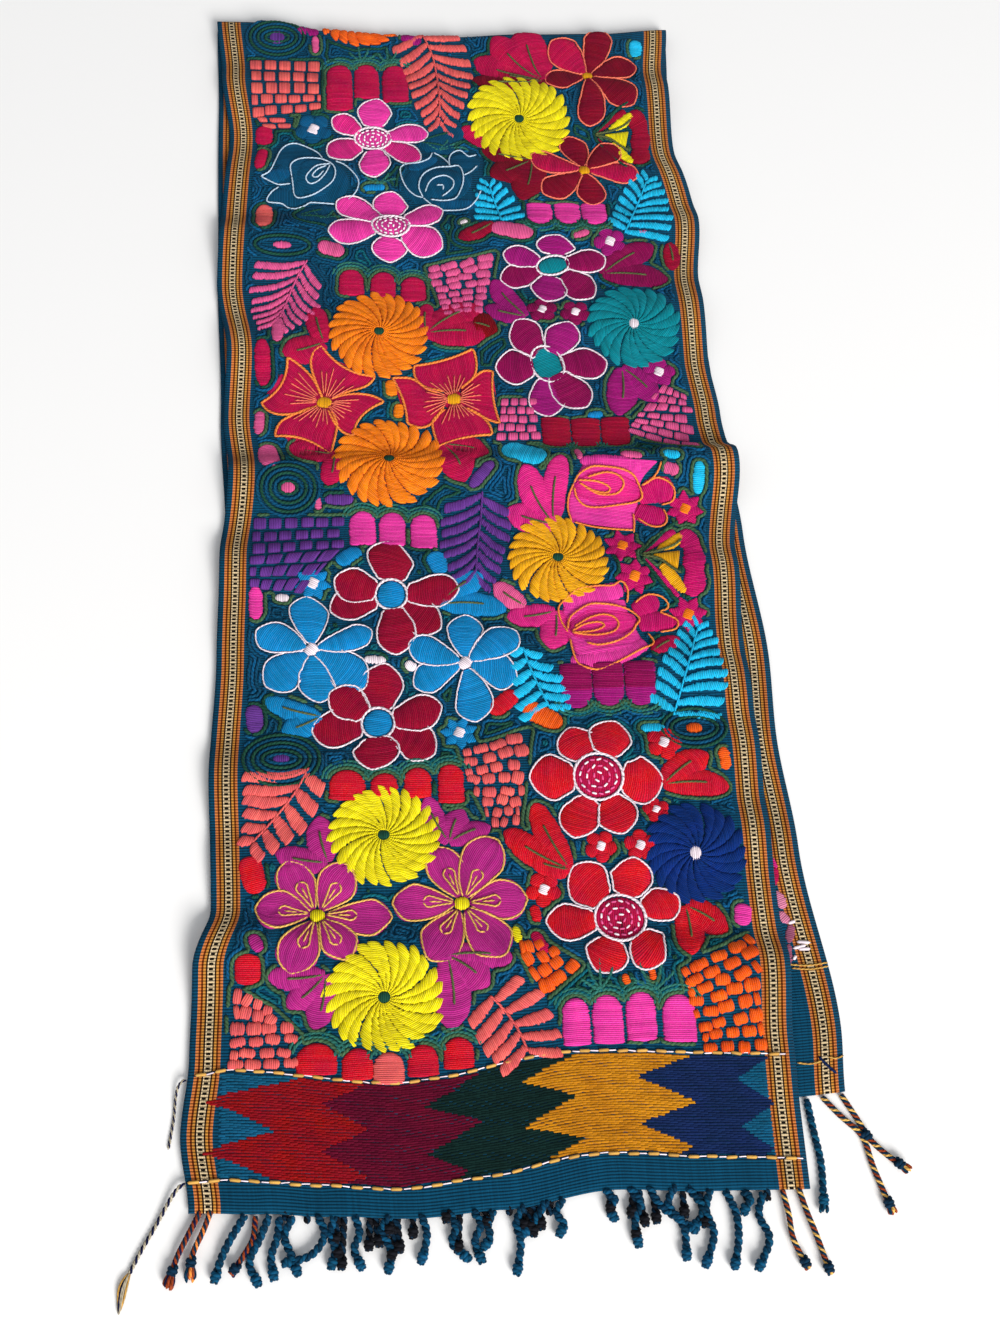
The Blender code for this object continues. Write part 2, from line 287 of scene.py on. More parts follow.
def settle(piece):
    """Joins a finished piece to the object."""
    piece.data.polygons.foreach_set("use_smooth", [True] * len(piece.data.polygons))
    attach(piece, "root")
    return piece


Form = namedtuple("Form", "row column loops sides loop_row loop_column")


@functools.lru_cache(maxsize=None)
def tube_form(rows, columns):
    """A closed tube with that many rows and columns of faces, which every stitch starts from."""
    clear_selection()
    bpy.ops.mesh.primitive_grid_add(x_subdivisions=columns, y_subdivisions=rows, size=2.0)
    tube = bpy.context.object
    mesh = tube.data
    flat = read_points(mesh)
    turn = flat[:, 0] * pi
    write_points(mesh, np.stack((np.cos(turn), np.sin(turn), flat[:, 1]), axis=1))
    bpy.ops.object.mode_set(mode="EDIT")
    bpy.ops.mesh.select_all(action="SELECT")
    bpy.ops.mesh.remove_doubles(threshold=0.00001)
    bpy.ops.mesh.fill_holes(sides=0)
    bpy.ops.mesh.select_all(action="SELECT")
    bpy.ops.mesh.normals_make_consistent(inside=False)
    bpy.ops.object.mode_set(mode="OBJECT")
    points = read_points(mesh)
    row = np.rint((points[:, 2] + 1) / 2 * rows).astype(int)
    around = (np.arctan2(points[:, 1], points[:, 0]) / pi + 1) / 2
    column = np.rint(around * columns).astype(int) % columns
    loops = read_array(mesh.loops, "vertex_index", kind=np.int32)
    sides = read_array(mesh.polygons, "loop_total", kind=np.int32)
    places = read_array(mesh.uv_layers.active.data, "uv", 2)
    loop_row = np.rint(places[:, 1] * rows).astype(int)
    loop_column = np.rint(places[:, 0] * columns).astype(int)
    cap = np.repeat(sides > 4, sides)
    loop_row[cap] = row[loops[cap]]
    loop_column[cap] = column[loops[cap]]
    bpy.data.objects.remove(tube)
    bpy.data.meshes.remove(mesh)
    return Form(row, column, loops, sides, loop_row, loop_column)


def smooth_line(points, count, closed=False):
    """Evenly spaced points on a smooth curve through the given ones."""
    points = np.asarray(points, float)
    if closed:
        points = np.vstack((points[-1], points, points[:2]))
    else:
        points = np.vstack((2 * points[0] - points[1], points, 2 * points[-1] - points[-2]))
    p0, p1, p2, p3 = points[:-3, None], points[1:-2, None], points[2:-1, None], points[3:, None]
    t = np.linspace(0.0, 1.0, 16, endpoint=False)[None, :, None]
    dense = 0.5 * (2 * p1 + (p2 - p0) * t + (2 * p0 - 5 * p1 + 4 * p2 - p3) * t ** 2
                   + (3 * p1 - p0 - 3 * p2 + p3) * t ** 3)
    dense = np.vstack((dense.reshape(-1, points.shape[1]), points[-2]))
    reach = reach_along(dense[:, :2])
    return read_line(dense, reach, np.linspace(0.0, reach[-1], count))


def reach_along(line):
    """Distance along a line of points to each of them."""
    return np.concatenate(([0.0], np.cumsum(np.linalg.norm(np.diff(line, axis=0), axis=1))))


def line_length(line):
    return float(np.linalg.norm(np.diff(np.asarray(line, float)[:, :2], axis=0), axis=1).sum())


def read_line(line, reach, at):
    """Points of a line at given places along its reach."""
    return np.stack([np.interp(at, reach, line[:, k]) for k in range(line.shape[1])], axis=-1)


def unit(vectors):
    return vectors / np.linalg.norm(vectors, axis=-1, keepdims=True)


def even(number, least):
    """The nearest even count, not under the least, so that few tube forms are needed."""
    return max(least, 2 * round(number / 2))


def round_off(distance, radius, least):
    """Share of the full width at a distance from a rounded end."""
    return np.sqrt(np.clip(1 - np.clip(1 - distance / radius, 0, 1) ** 2, least, 1))


THREAD_STEP = 2.6     # length of a face along a thread, in millimetres
ECHOED = []           # outlines on the plan that the ground stitches run round
CLEAR = []            # outlines that they keep clear of


class Needlework:
    """Stitches gathered on the flat plan, in millimetres, until they are made one piece."""

    def __init__(self, seed, echoed=True, surface=0.5):
        """Echoed says whether the ground stitches run round its patches, keep clear of them,
        or with None take no notice.  The surface is the lift of the cloth's face off its middle,
        sunk a little."""
        self.random = np.random.default_rng(seed)
        self.outlines = {True: ECHOED, False: CLEAR, None: []}[echoed]
        self.surface = surface
        self.points, self.loops, self.sides, self.threads, self.yarns = [], [], [], [], []
        self.palette = []
        self.count = 0

    def add(self, yarn, points, run, number):
        """Adds a closed tube through rows of points.  Run is the place along the threads and
        number counts them, at each row and column."""
        form = tube_form(points.shape[0] - 1, points.shape[1])
        threads = np.stack(np.broadcast_arrays(run, self.random.integers(0, 400) + number), axis=-1)
        if yarn not in self.palette:
            self.palette.append(yarn)
        self.points.append(points[form.row, form.column])
        self.loops.append(form.loops + self.count)
        self.sides.append(form.sides)
        self.threads.append(threads[form.loop_row, form.loop_column])
        self.yarns.append(np.full(len(form.sides), self.palette.index(yarn)))
        self.count += len(form.row)

    def pad(self, yarn, spine, widths, height=1.5, along=False, slant=0.0, bow=0.0, tips=(0.0, 0.0),
            base=0.0, pitch=None, fullness=2.6):
        """A padded satin stitch along a spine, with a ridge for every thread.  The widths are
        half widths spread along the spine, and the tips are the radii of its rounded ends.
        Slant turns the threads, bow curves them, and fullness flattens the top."""
        line = smooth_line(spine, 40)
        length = line_length(line)
        widths = np.atleast_1d(np.asarray(widths, float))
        rows, arc, share, t = self.lay_threads(length, widths.max(), along, pitch)
        half = np.full(share.shape, widths[0])
        if len(widths) > 1:
            spread = smooth_line(np.stack((np.linspace(0, length, len(widths)), widths), axis=1), 60)
            half = np.interp(share * length, spread[:, 0], spread[:, 1])
        for radius, distance in zip(tips, (share * length, (1 - share) * length)):
            if radius > 0:
                half = half * round_off(distance, radius, 0.01)
        stray = self.random.normal(0.0, settings("runner_yarn").unevenness, (max(rows, arc) // 2 + 1, 2))
        if along:
            ends = stray[np.minimum(np.arange(arc + 1) // 2, arc // 2), 0]
            reach = share * length + (ends * (2 * share - 1) + slant * t * half * share
                                      + bow * t * t * share ** 2)
            side = t * half
        else:
            ends = stray[np.minimum(np.arange(rows + 1) // 2, rows // 2)]
            reach = share * length + slant * t * half + bow * t * t * half
            side = t * (half + np.where(t < 0, ends[:, :1], ends[:, 1:]) * (half > 1.0))
        along_line = reach_along(line)
        at = np.clip(reach, 0.0, length)
        heading = read_line(unit(np.gradient(line, along_line, axis=0)), along_line, at)
        right = np.stack((heading[..., 1], -heading[..., 0]), axis=-1)
        flat = read_line(line, along_line, at) + heading * (reach - at)[..., None] + right * side[..., None]
        soft = [max(min(radius, 3.0), 1.0) for radius in tips]
        return self.raise_threads(yarn, flat, length, widths.max(), along, share, t, height, base, fullness,
                                  soft)

    def panel(self, yarn, left, right, height=1.7, along=True, bow=0.0):
        """A padded patch between two sides, each a line of points from the base to the tip."""
        sides = [smooth_line(side, 41) for side in (left, right)]
        length = max(line_length(side) for side in sides)
        half = np.linalg.norm(sides[0] - sides[1], axis=1).max() / 2
        _, _, share, t = self.lay_threads(length, half, along)
        first, second = [read_line(side, np.arange(41), share[:, 0] * 40)[:, None, :] for side in sides]
        heading = unit((sides[0][-1] + sides[1][-1] - sides[0][0] - sides[1][0]) / 2)
        flat = first * (1 - t[..., None]) / 2 + second * (1 + t[..., None]) / 2
        flat = flat + heading * (bow * (1 - t * t) * share ** 2)[..., None]
        return self.raise_threads(yarn, flat, length, half, along, share, t, height, 0.0, 2.8, (1.2, 1.2))

    def lay_threads(self, length, half, along, pitch=None):
        """Counts of rows and columns for threads along or across a patch, and their places."""
        pitch = pitch or settings("runner_yarn").pitch
        if along:
            rows, arc = even(length / THREAD_STEP, 4), 2 * even(2 * half / pitch, 4)
        else:
            rows, arc = 2 * even(length / pitch, 4), 6
        share = np.linspace(0.0, 1.0, rows + 1)[:, None]
        t = np.linspace(-1.0, 1.0, arc + 1)[None, :]
        return rows, arc, share, t if along else np.sin(t * pi / 2)

    def raise_threads(self, yarn, flat, length, half, along, share, t, height, base, fullness, soft):
        """Rounds a flat patch up from the cloth with a ridge for every thread, and adds it.
        Gives its outline."""
        rows, arc = len(share) - 1, t.shape[1] - 1
        fall = np.ones(share.shape)
        for radius, distance in zip(soft, (share * length, (1 - share) * length)):
            fall = fall * round_off(distance, radius, 0.03)
        proud = self.random.normal(0.0, 0.08, max(rows, arc) // 2 + 1)
        count = arc if along else rows
        groove = np.arange(count + 1) % 2 == 0
        proud = proud[np.minimum(np.arange(count + 1) // 2, count // 2)]
        row, column = np.ogrid[:rows + 1, :arc + 2]
        if along:
            threads = row * length / rows, column / 2
        else:
            groove, proud = groove[:, None], proud[:, None]
            threads = column * 2 * half / arc, row / 2
        dome = np.sqrt(np.clip(1 - np.abs(t) ** fullness, 0.0, 1.0))
        lift = self.surface + base + (height * fall + proud - groove * settings("runner_yarn").groove) * dome
        lift = np.where(np.abs(t) > 0.999, self.surface - 0.25, lift)
        points = np.concatenate((flat, np.broadcast_to(lift, flat.shape[:2])[..., None]), axis=-1)
        self.add(yarn, points, *threads)
        edge = np.vstack((points[:, 0, :2], points[-1, 1:-1, :2], points[::-1, -1, :2]))
        self.outlines.append(edge[::2])
        return edge

    def line(self, yarn, route, radius=0.75, lift=0.9, closed=False, stitch=3.2):
        """A line of stem stitch.  The route may carry its own lift as a third value."""
        rows, columns = even(2 * line_length(route) / stitch, 4), 5
        line = smooth_line(route, rows + 1, closed)
        slope = np.gradient(line[:, :2], axis=0)
        slope /= np.linalg.norm(slope, axis=1, keepdims=True) + 1e-9
        right = np.stack((slope[:, 1], -slope[:, 0]), axis=1)
        height = line[:, 2:] if line.shape[1] > 2 else np.full((rows + 1, 1), lift)
        pulse = np.where(np.arange(rows + 1) % 2 == 0, 0.82, 1.08)[:, None]
        pulse = pulse + self.random.normal(0.0, 0.05, pulse.shape)
        if not closed:
            pulse[[0, -1]] *= 0.45
        row, column = np.ogrid[:rows + 1, :columns + 1]
        angle = column[:, :-1] / columns * 2 * pi + pi / 2
        plan = line[:, None, :2] + right[:, None, :] * (-np.cos(angle) * radius * pulse)[..., None]
        rise = self.surface + height + np.sin(angle) * radius * pulse
        self.add(yarn, np.concatenate((plan, rise[..., None]), axis=-1), row * stitch / 2,
                 row * stitch / 2 / 3.0 + column * 2 / columns)

    def tube(self, yarn, path, radius, across, end=0.6):
        """A closed round length of yarn along points in space; across points square off its way."""
        path = np.asarray(path, float)
        way = unit(np.gradient(path, axis=0))
        side = unit(np.cross(way, across))
        rise = np.cross(way, side)
        columns = 6
        size = np.full((len(path), 1, 1), float(radius))
        size[[0, -1]] *= end
        angle = (np.arange(columns) / columns * 2 * pi)[None, :, None]
        points = path[:, None] + size * (np.cos(angle) * side[:, None] + np.sin(angle) * rise[:, None])
        reach = reach_along(path)[:, None]
        self.add(yarn, points, reach, np.arange(columns + 1) * 2 / columns + reach * 0.3)

    def dash(self, yarn, middle, heading, length, width, height=0.7, base=0.0):
        """One short raised stitch, turned by its heading in radians."""
        share = np.array((-0.5, -0.34, 0.34, 0.5))[:, None]
        bulge = np.array((0.25, 0.9, 0.9, 0.25))[:, None]
        t = np.array((-1.0, -0.62, 0.62, 1.0))[None, :]
        top = np.array((0.0, 0.85, 0.85, 0.0))[None, :]
        forward = np.broadcast_to(share * length, (4, 4))
        side = t * bulge * width / 2
        x = middle[0] + forward * cos(heading) + side * sin(heading)
        y = middle[1] + forward * sin(heading) - side * cos(heading)
        lift = self.surface - 0.15 + base + top * bulge * (height + 0.15)
        row, column = np.ogrid[:4, :5]
        self.add(yarn, np.stack((x, y, lift), axis=-1), row * length / 3, column / 3 * 0.96 + 0.02)

    def finish(self, name, slot="embroidery_yarn", lay=drape):
        """Makes the gathered stitches one piece, draped on the cloth or laid another way."""
        sides = np.concatenate(self.sides)
        loops = np.concatenate(self.loops)
        starts = np.concatenate(([0], np.cumsum(sides)[:-1]))
        mesh = bpy.data.meshes.new(name)
        mesh.vertices.add(self.count)
        mesh.loops.add(len(loops))
        mesh.polygons.add(len(sides))
        mesh.vertices.foreach_set("co", lay(np.concatenate(self.points) * MM).astype(np.float32).ravel())
        mesh.loops.foreach_set("vertex_index", loops.astype(np.int32))
        mesh.polygons.foreach_set("loop_start", starts.astype(np.int32))
        for yarn in self.palette:
            mesh.materials.append(yarn_material(yarn))
        mesh.polygons.foreach_set("material_index", np.concatenate(self.yarns).astype(np.int32))
        layer = mesh.uv_layers.new(name="threads")
        layer.data.foreach_set("uv", np.concatenate(self.threads).astype(np.float32).ravel())
        mesh.update(calc_edges=True)
        piece = bpy.data.objects.new(name, mesh)
        bpy.context.scene.collection.objects.link(piece)
        return settle(piece)


# ---- materials

YARN_BUMP = 0.00045         # depth of the relief drawn on the yarn and on the cloth
CLOTH_BUMP = 0.0007


class Sketch:
    """Adds nodes to a tree and joins them as they are made."""

    def __init__(self, tree):
        self.tree = tree

    def add(self, kind, inputs=(), **choices):
        node = self.tree.nodes.new(kind)
        node.location = (180 * (len(self.tree.nodes) % 12), -220 * (len(self.tree.nodes) // 12))
        for name, value in choices.items():
            setattr(node, name, value)
        self.join(node, inputs)
        return node

    def join(self, node, inputs):
        for name, value in dict(inputs).items():
            if isinstance(value, bpy.types.NodeSocket):
                self.tree.links.new(value, node.inputs[name])
            else:
                node.inputs[name].default_value = value

    def maths(self, operation, *values):
        return self.add("ShaderNodeMath", enumerate(values), operation=operation).outputs[0]

    def plus(self, first, second):
        return self.maths("ADD", first, second)

    def times(self, first, second, added=None):
        if added is None:
            return self.maths("MULTIPLY", first, second)
        return self.maths("MULTIPLY_ADD", first, second, added)

    def wave(self, value, turn=pi):
        return self.maths("SINE", self.times(value, turn))

    def blend(self, share, first, second):
        return self.add("ShaderNodeMix", {0: share, 6: first, 7: second}, data_type="RGBA").outputs[2]

    def vector(self, *parts):
        return self.add("ShaderNodeCombineXYZ", enumerate(parts)).outputs[0]

    def noise(self, place, scale, detail=2.0, roughness=0.5):
        inputs = {"Vector": place, "Scale": scale, "Detail": detail, "Roughness": roughness}
        return self.add("ShaderNodeTexNoise", inputs).outputs["Fac"]

    def lottery(self, number):
        """A chance value that stays the same for each whole number."""
        return self.add("ShaderNodeTexWhiteNoise", {"W": number}, noise_dimensions="1D").outputs["Value"]

    def tint(self, colour, shade, **more):
        return self.add("ShaderNodeHueSaturation", {"Color": colour, "Value": shade, **more}).outputs[0]


def start_group(name, inputs, outputs):
    """A new shader node group with the named sockets, and its sketch, its entry's sockets and
    its exit node."""
    group = bpy.data.node_groups.new(name, "ShaderNodeTree")
    for direction, sockets in (("INPUT", inputs), ("OUTPUT", outputs)):
        for label, kind in sockets.items():
            group.interface.new_socket(label, in_out=direction, socket_type="NodeSocket" + kind)
    sketch = Sketch(group)
    return sketch, sketch.add("NodeGroupInput").outputs, sketch.add("NodeGroupOutput")


@functools.lru_cache(maxsize=None)
def spun_yarn_group():
    """Threads side by side, each with its own tone and fibres, and painted shade in its groove."""
    sketch, entry, leave = start_group(
        "Spun yarn", {"Threads": "Vector", "Place": "Vector", "Colour": "Color", "Spread": "Float"},
        {"Colour": "Color", "Height": "Float", "Roughness": "Float"})
    parts = sketch.add("ShaderNodeSeparateXYZ", {"Vector": entry["Threads"]}).outputs
    number = sketch.maths("FLOOR", parts["Y"])
    own = sketch.lottery(number)
    ridge = sketch.wave(sketch.maths("FRACT", parts["Y"]))
    stretched = sketch.vector(sketch.times(parts["X"], 0.7), sketch.times(parts["Y"], 3.1), number)
    fibres = sketch.noise(stretched, 1.0, 3.0, 0.65)
    patches = sketch.noise(entry["Place"], 75.0)
    fuzz = sketch.noise(entry["Place"], 1500.0, 2.0, 0.6)
    uneven = sketch.plus(sketch.times(own, 0.9, -0.45), sketch.times(fibres, 1.7, -0.85))
    uneven = sketch.plus(uneven, sketch.times(patches, 2.0, -1.0))
    # painted shade: the colour is darkened in the groove between two threads
    groove = sketch.times(sketch.maths("POWER", ridge, 0.7), 0.62, 0.46)
    shade = sketch.times(sketch.times(uneven, entry["Spread"], 1.02), groove)
    tinted = sketch.tint(entry["Colour"], shade, Hue=sketch.times(patches, 0.016, 0.490),
                         Saturation=sketch.times(fuzz, -0.22, 1.1))
    height = sketch.plus(sketch.times(ridge, 0.55), sketch.times(fibres, 0.45))
    sketch.join(leave, {"Colour": tinted, "Height": sketch.times(fuzz, 0.3, height),
                        "Roughness": sketch.times(fibres, 0.25, 0.66)})
    return sketch.tree


def start_material(name):
    """A new material with its default shader, and a sketch of its nodes."""
    material = bpy.data.materials.new(name)
    material.use_nodes = True
    return material, Sketch(material.node_tree)


def dress_shader(sketch, colour, rough, height, bump):
    """Joins the worked-out colour, roughness and height to a cloth-like shader."""
    normal = sketch.add("ShaderNodeBump", {"Strength": 1.0, "Distance": bump, "Height": height}).outputs[0]
    sketch.join(sketch.tree.nodes["Principled BSDF"], {
        "Base Color": colour, "Roughness": rough, "Normal": normal, "Specular IOR Level": 0.05,
        "Sheen Weight": 0.03, "Sheen Roughness": 0.45})


@functools.lru_cache(maxsize=None)
def yarn_material(yarn):
    """Soft wool yarn of one colour."""
    material, sketch = start_material(f"{yarn} yarn")
    threads = sketch.add("ShaderNodeUVMap", uv_map="threads").outputs[0]
    place = sketch.add("ShaderNodeTexCoord").outputs["Object"]
    spun = sketch.add("ShaderNodeGroup", {
        "Threads": threads, "Place": place, "Colour": tuple(getattr(settings("runner_colours"), yarn)),
        "Spread": settings("runner_yarn").shade_spread}, node_tree=spun_yarn_group())
    dress_shader(sketch, *(spun.outputs[key] for key in ("Colour", "Roughness", "Height")), YARN_BUMP)
    return material


# Border stripes from the outer edge in: yarn and width in millimetres.
STRIPES = (
    ("peach", 1.8), ("burnt", 1.2), ("tan", 1.5), ("brown", 1.0), ("cream", 4.4), ("brown", 1.0),
    ("tan", 1.4), ("burnt", 1.1), ("peach", 1.7),
)
STRIPE_COLOURS = {"peach": "d87e40", "burnt": "6e2e0a", "tan": "d6923e", "brown": "2c150c",
                  "cream": "e4cba0", "hole": "17130f"}
WARP_PITCH = 0.00062
RIB_PITCH = 0.0019
RUNG_PITCH = 0.003


@functools.lru_cache(maxsize=None)
def rib_group():
    """Weft ribs across the cloth and fine warp threads along it, as a height and a painted shade."""
    sketch, entry, leave = start_group("Ribbed weave", {"Across": "Float", "Along": "Float", "Rib": "Float"},
                                       {"Height": "Float", "Shade": "Float"})
    across, along = entry["Across"], entry["Along"]
    wander = sketch.noise(sketch.vector(sketch.times(across, 30.0), sketch.times(along, 90.0)), 1.0)
    phase = sketch.plus(sketch.maths("DIVIDE", along, entry["Rib"]), sketch.times(wander, 0.7))
    rib = sketch.maths("ABSOLUTE", sketch.wave(phase))
    count = sketch.maths("DIVIDE", across, WARP_PITCH)
    warp = sketch.maths("ABSOLUTE", sketch.wave(count))
    own = sketch.lottery(sketch.maths("FLOOR", count))
    # painted shade: darker in the valleys between the ribs and between the warp threads, with a random tone
    # for each warp thread
    shade = sketch.times(rib, 0.62, sketch.times(warp, 0.16, 0.34))
    sketch.join(leave, {"Height": sketch.times(warp, 0.35, sketch.times(rib, 0.75)),
                        "Shade": sketch.plus(shade, sketch.times(own, 0.22, -0.11))})
    return sketch.tree


def stripe_ramp(sketch, share):
    """Colour of the border stripes at a share of their width."""
    node = sketch.add("ShaderNodeValToRGB", {"Fac": share})
    ramp = node.color_ramp
    ramp.interpolation = "CONSTANT"
    total = sum(size for _, size in STRIPES)
    reach = 0.0
    for number, (yarn, size) in enumerate(STRIPES):
        stop = ramp.elements[number] if number < 2 else ramp.elements.new(reach / total)
        stop.position = reach / total
        stop.color = hex_colour(STRIPE_COLOURS[yarn])
        reach += size
    return node.outputs["Color"]


@functools.lru_cache(maxsize=None)
def cloth_material():
    """Teal ribbed cotton with bright stripes along both borders."""
    cloth = settings("runner_cloth")
    material, sketch = start_material("woven cloth")
    weave = sketch.add("ShaderNodeUVMap", uv_map="weave").outputs[0]
    place = sketch.add("ShaderNodeTexCoord").outputs["Object"]
    parts = sketch.add("ShaderNodeSeparateXYZ", {"Vector": weave}).outputs
    across, along = parts["X"], parts["Y"]
    ribs = sketch.add("ShaderNodeGroup", {"Across": across, "Along": along, "Rib": RIB_PITCH},
                      node_tree=rib_group())
    edge = sketch.maths("MINIMUM", across, sketch.maths("SUBTRACT", WIDTH, across))
    share = sketch.maths("DIVIDE", sketch.maths("SUBTRACT", edge, cloth.stripe_inset), cloth.stripe_width)
    inside = sketch.times(sketch.maths("GREATER_THAN", share, 0.0), sketch.maths("LESS_THAN", share, 1.0))
    # dark holes down the middle of the light stripe, like a ladder
    rung = sketch.maths("GREATER_THAN", sketch.wave(along, 2 * pi / RUNG_PITCH), -0.12)
    middle = sketch.maths("COMPARE", share, 0.507, 0.086)
    stripes = sketch.blend(sketch.times(rung, middle), stripe_ramp(sketch, share),
                           hex_colour(STRIPE_COLOURS["hole"]))
    stripes = sketch.tint(stripes, sketch.times(sketch.noise(place, 22.0), 0.7, 0.62))
    teal = tuple(settings("runner_colours").teal)[:3]
    dark, light = [(*(gain * part for part in teal), 1.0) for gain in (0.72, 1.25)]
    ground = sketch.blend(sketch.noise(place, 60.0, 3.0, 0.6), dark, light)
    fuzz = sketch.noise(place, 1300.0, 2.0, 0.6)
    # the ribs' painted shade, with fine random fuzz
    shade = sketch.times(ribs.outputs["Shade"], sketch.times(fuzz, 0.4, 0.8))
    colour = sketch.tint(sketch.blend(inside, ground, stripes), shade)
    dress_shader(sketch, colour, sketch.times(fuzz, 0.2, 0.75),
                 sketch.times(fuzz, 0.25, ribs.outputs["Height"]), CLOTH_BUMP)
    return material


# ---- cloth and stage

CAMERA_PLACE = (-0.1184, -0.6232, 1.0789)
CAMERA_RIGHT = (0.99605, -0.05054, 0.07302)
CAMERA_UP = (0.01295, 0.89612, 0.44362)
CAMERA_BACK = (-0.08785, -0.44092, 0.89324)
KEY_PLACE = (1.86, -4.86, 3.06)
FOLD_ROWS = 12


def make_cloth():
    """The whole sheet: a grid bent along the folded section, then given its thickness."""
    cloth = settings("runner_cloth")
    upper = FOLD_Y - cloth.fold_radius
    turn = pi * cloth.fold_radius
    under = upper - LOWER_END_Y
    runs = np.concatenate((
        np.linspace(0, upper, round(upper / cloth.row_length), endpoint=False),
        np.linspace(upper, upper + turn, FOLD_ROWS, endpoint=False),
        np.linspace(upper + turn, upper + turn + under, round(under / cloth.row_length))))
    clear_selection()
    bpy.ops.mesh.primitive_grid_add(x_subdivisions=cloth.columns, y_subdivisions=len(runs) - 1, size=2.0)
    piece = bpy.context.object
    rename(piece, "runner_cloth_visual")
    mesh = piece.data
    flat = read_points(mesh)
    across = (flat[:, 0] + 1) / 2
    run = runs[np.rint((flat[:, 1] + 1) / 2 * (len(runs) - 1)).astype(int)]
    write_points(mesh, in_frame(cloth_point(across, run)))
    loops = read_array(mesh.loops, "vertex_index", kind=np.int32)
    layer = mesh.uv_layers.active
    layer.name = "weave"
    layer.data.foreach_set("uv", np.stack((across * WIDTH, run), axis=1)[loops].astype(np.float32).ravel())
    solid = piece.modifiers.new("cloth thickness", "SOLIDIFY")
    solid.thickness = cloth.thickness
    solid.offset = 0.0
    bpy.ops.object.modifier_apply(modifier=solid.name)
    piece.data.materials.append(cloth_material())
    settle(piece)
    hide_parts("runner_cloth")


def make_floor():
    """A pale floor under the runner."""
    clear_selection()
    bpy.ops.mesh.primitive_plane_add(size=settings("runner_stage").floor_size, location=(0, 0, 0))
    floor = bpy.context.object
    rename(floor, "floor")
    material, sketch = start_material("pale floor")
    sketch.join(material.node_tree.nodes["Principled BSDF"],
                {"Base Color": (0.93, 0.93, 0.935, 1.0), "Roughness": 0.9})
    floor.data.materials.append(material)


def make_lights():
    """Light from all round and a soft key light."""
    stage = settings("runner_stage")
    world = bpy.context.scene.world or bpy.data.worlds.new("studio")
    bpy.context.scene.world = world
    world.use_nodes = True
    Sketch(world.node_tree).join(world.node_tree.nodes["Background"],
                                 {"Color": (0.96, 0.98, 1.0, 1.0), "Strength": stage.ambient})
    bpy.ops.object.light_add(type="AREA", location=KEY_PLACE)
    key = bpy.context.object
    key.name = "key light"
    key.data.size = stage.key_size
    key.data.energy = stage.key_power
    key.data.color = (1.0, 0.975, 0.94)
    key.rotation_euler = (-key.location).to_track_quat("-Z", "Y").to_euler()


def make_camera():
    bpy.ops.object.camera_add()
    camera = bpy.context.object
    camera.data.lens = settings("runner_stage").lens
    camera.data.sensor_width = 36.0
    camera.data.clip_start = 0.05
    camera.data.clip_end = 50.0
    turned = Matrix((CAMERA_RIGHT, CAMERA_UP, CAMERA_BACK)).transposed().to_4x4()
    camera.matrix_world = Matrix.Translation(CAMERA_PLACE) @ turned
    bpy.context.scene.camera = camera


class RUNNER_OT_stage(bpy.types.Operator):
    """Make the floor, the lights and the camera"""
    bl_idname = "runner.stage"
    bl_label = "Stage"

    def execute(self, context):
        make_floor()
        make_lights()
        make_camera()
        context.scene.view_settings.view_transform = "Standard"
        return {"FINISHED"}


class RUNNER_OT_cloth(bpy.types.Operator):
    """Weave the striped cloth and fold it"""
    bl_idname = "runner.cloth"
    bl_label = "Cloth"

    def execute(self, context):
        make_cloth()
        return {"FINISHED"}


# ---- embroidered shapes

def polar(centre, angle, reach):
    return (centre[0] + reach * cos(angle), centre[1] + reach * sin(angle))


def oval_reach(size, angle):
    """Distance from the middle of an oval to its rim in one direction."""
    return 1 / hypot(cos(angle) / (size[0] / 2), sin(angle) / (size[1] / 2))


def oval(centre, size, count=16, turn=0.0):
    """Points round an oval turned by so many degrees."""
    tilt = radians(turn)
    points = []
    for k in range(count):
        angle = 2 * pi * k / count
        x, y = size[0] / 2 * cos(angle), size[1] / 2 * sin(angle)
        points.append((centre[0] + x * cos(tilt) - y * sin(tilt),
                       centre[1] + x * sin(tilt) + y * cos(tilt)))
    return points


def calm(path, reach=5):
    """A path with its small jumps smoothed away."""
    kernel = np.ones(reach) / reach
    padded = np.vstack((path[:1].repeat(reach // 2, 0), path, path[-1:].repeat(reach // 2, 0)))
    return np.stack([np.convolve(padded[:, k], kernel, "valid") for k in (0, 1)], axis=1)


def bit(work, yarn, centre, size, turn=0.0, height=1.5, round_share=1.0):
    """One oval or rounded patch of satin stitch, its longer threads across the turned x axis."""
    half = size[0] / 2
    ends = [polar(centre, radians(turn), s * half) for s in (-1, 0, 1)]
    work.pad(yarn, ends, size[1] / 2, height, tips=(half * round_share, half * round_share))


def patch(work, yarn, x, y, wide, deep, turn):
    bit(work, yarn, (x, y), (wide, deep), turn, height=1.8, round_share=0.6)


def petal(work, yarn, outline, centre, tip, width, inner, foot=0.5, along=False, outline_radius=0.72,
          base=0.0):
    """One egg-shaped petal from an open middle to its tip, with a stem-stitch outline."""
    centre, tip = np.array(centre, float), np.array(tip, float)
    run = tip - centre
    reach = np.linalg.norm(run)
    start = centre + run * inner / reach
    bend = np.array((-run[1], run[0])) / reach * work.random.uniform(-0.05, 0.05) * reach
    half = width / 2
    shape = (foot, foot * 0.42 + 0.55, 1.0, 1.0, 0.86) if foot > 0.3 else (foot, 0.58, 0.88, 1.0, 0.88)
    spine = (start, (start + tip) / 2 + bend, tip)
    edge = work.pad(yarn, spine, [half * w for w in shape], 1.9, along=along,
                    tips=(1.5, min(half * 0.95, reach * 0.4)), slant=work.random.uniform(-0.2, 0.2),
                    bow=-0.12, base=base)
    work.line(outline, calm(edge)[::4], outline_radius, 0.9 + base)


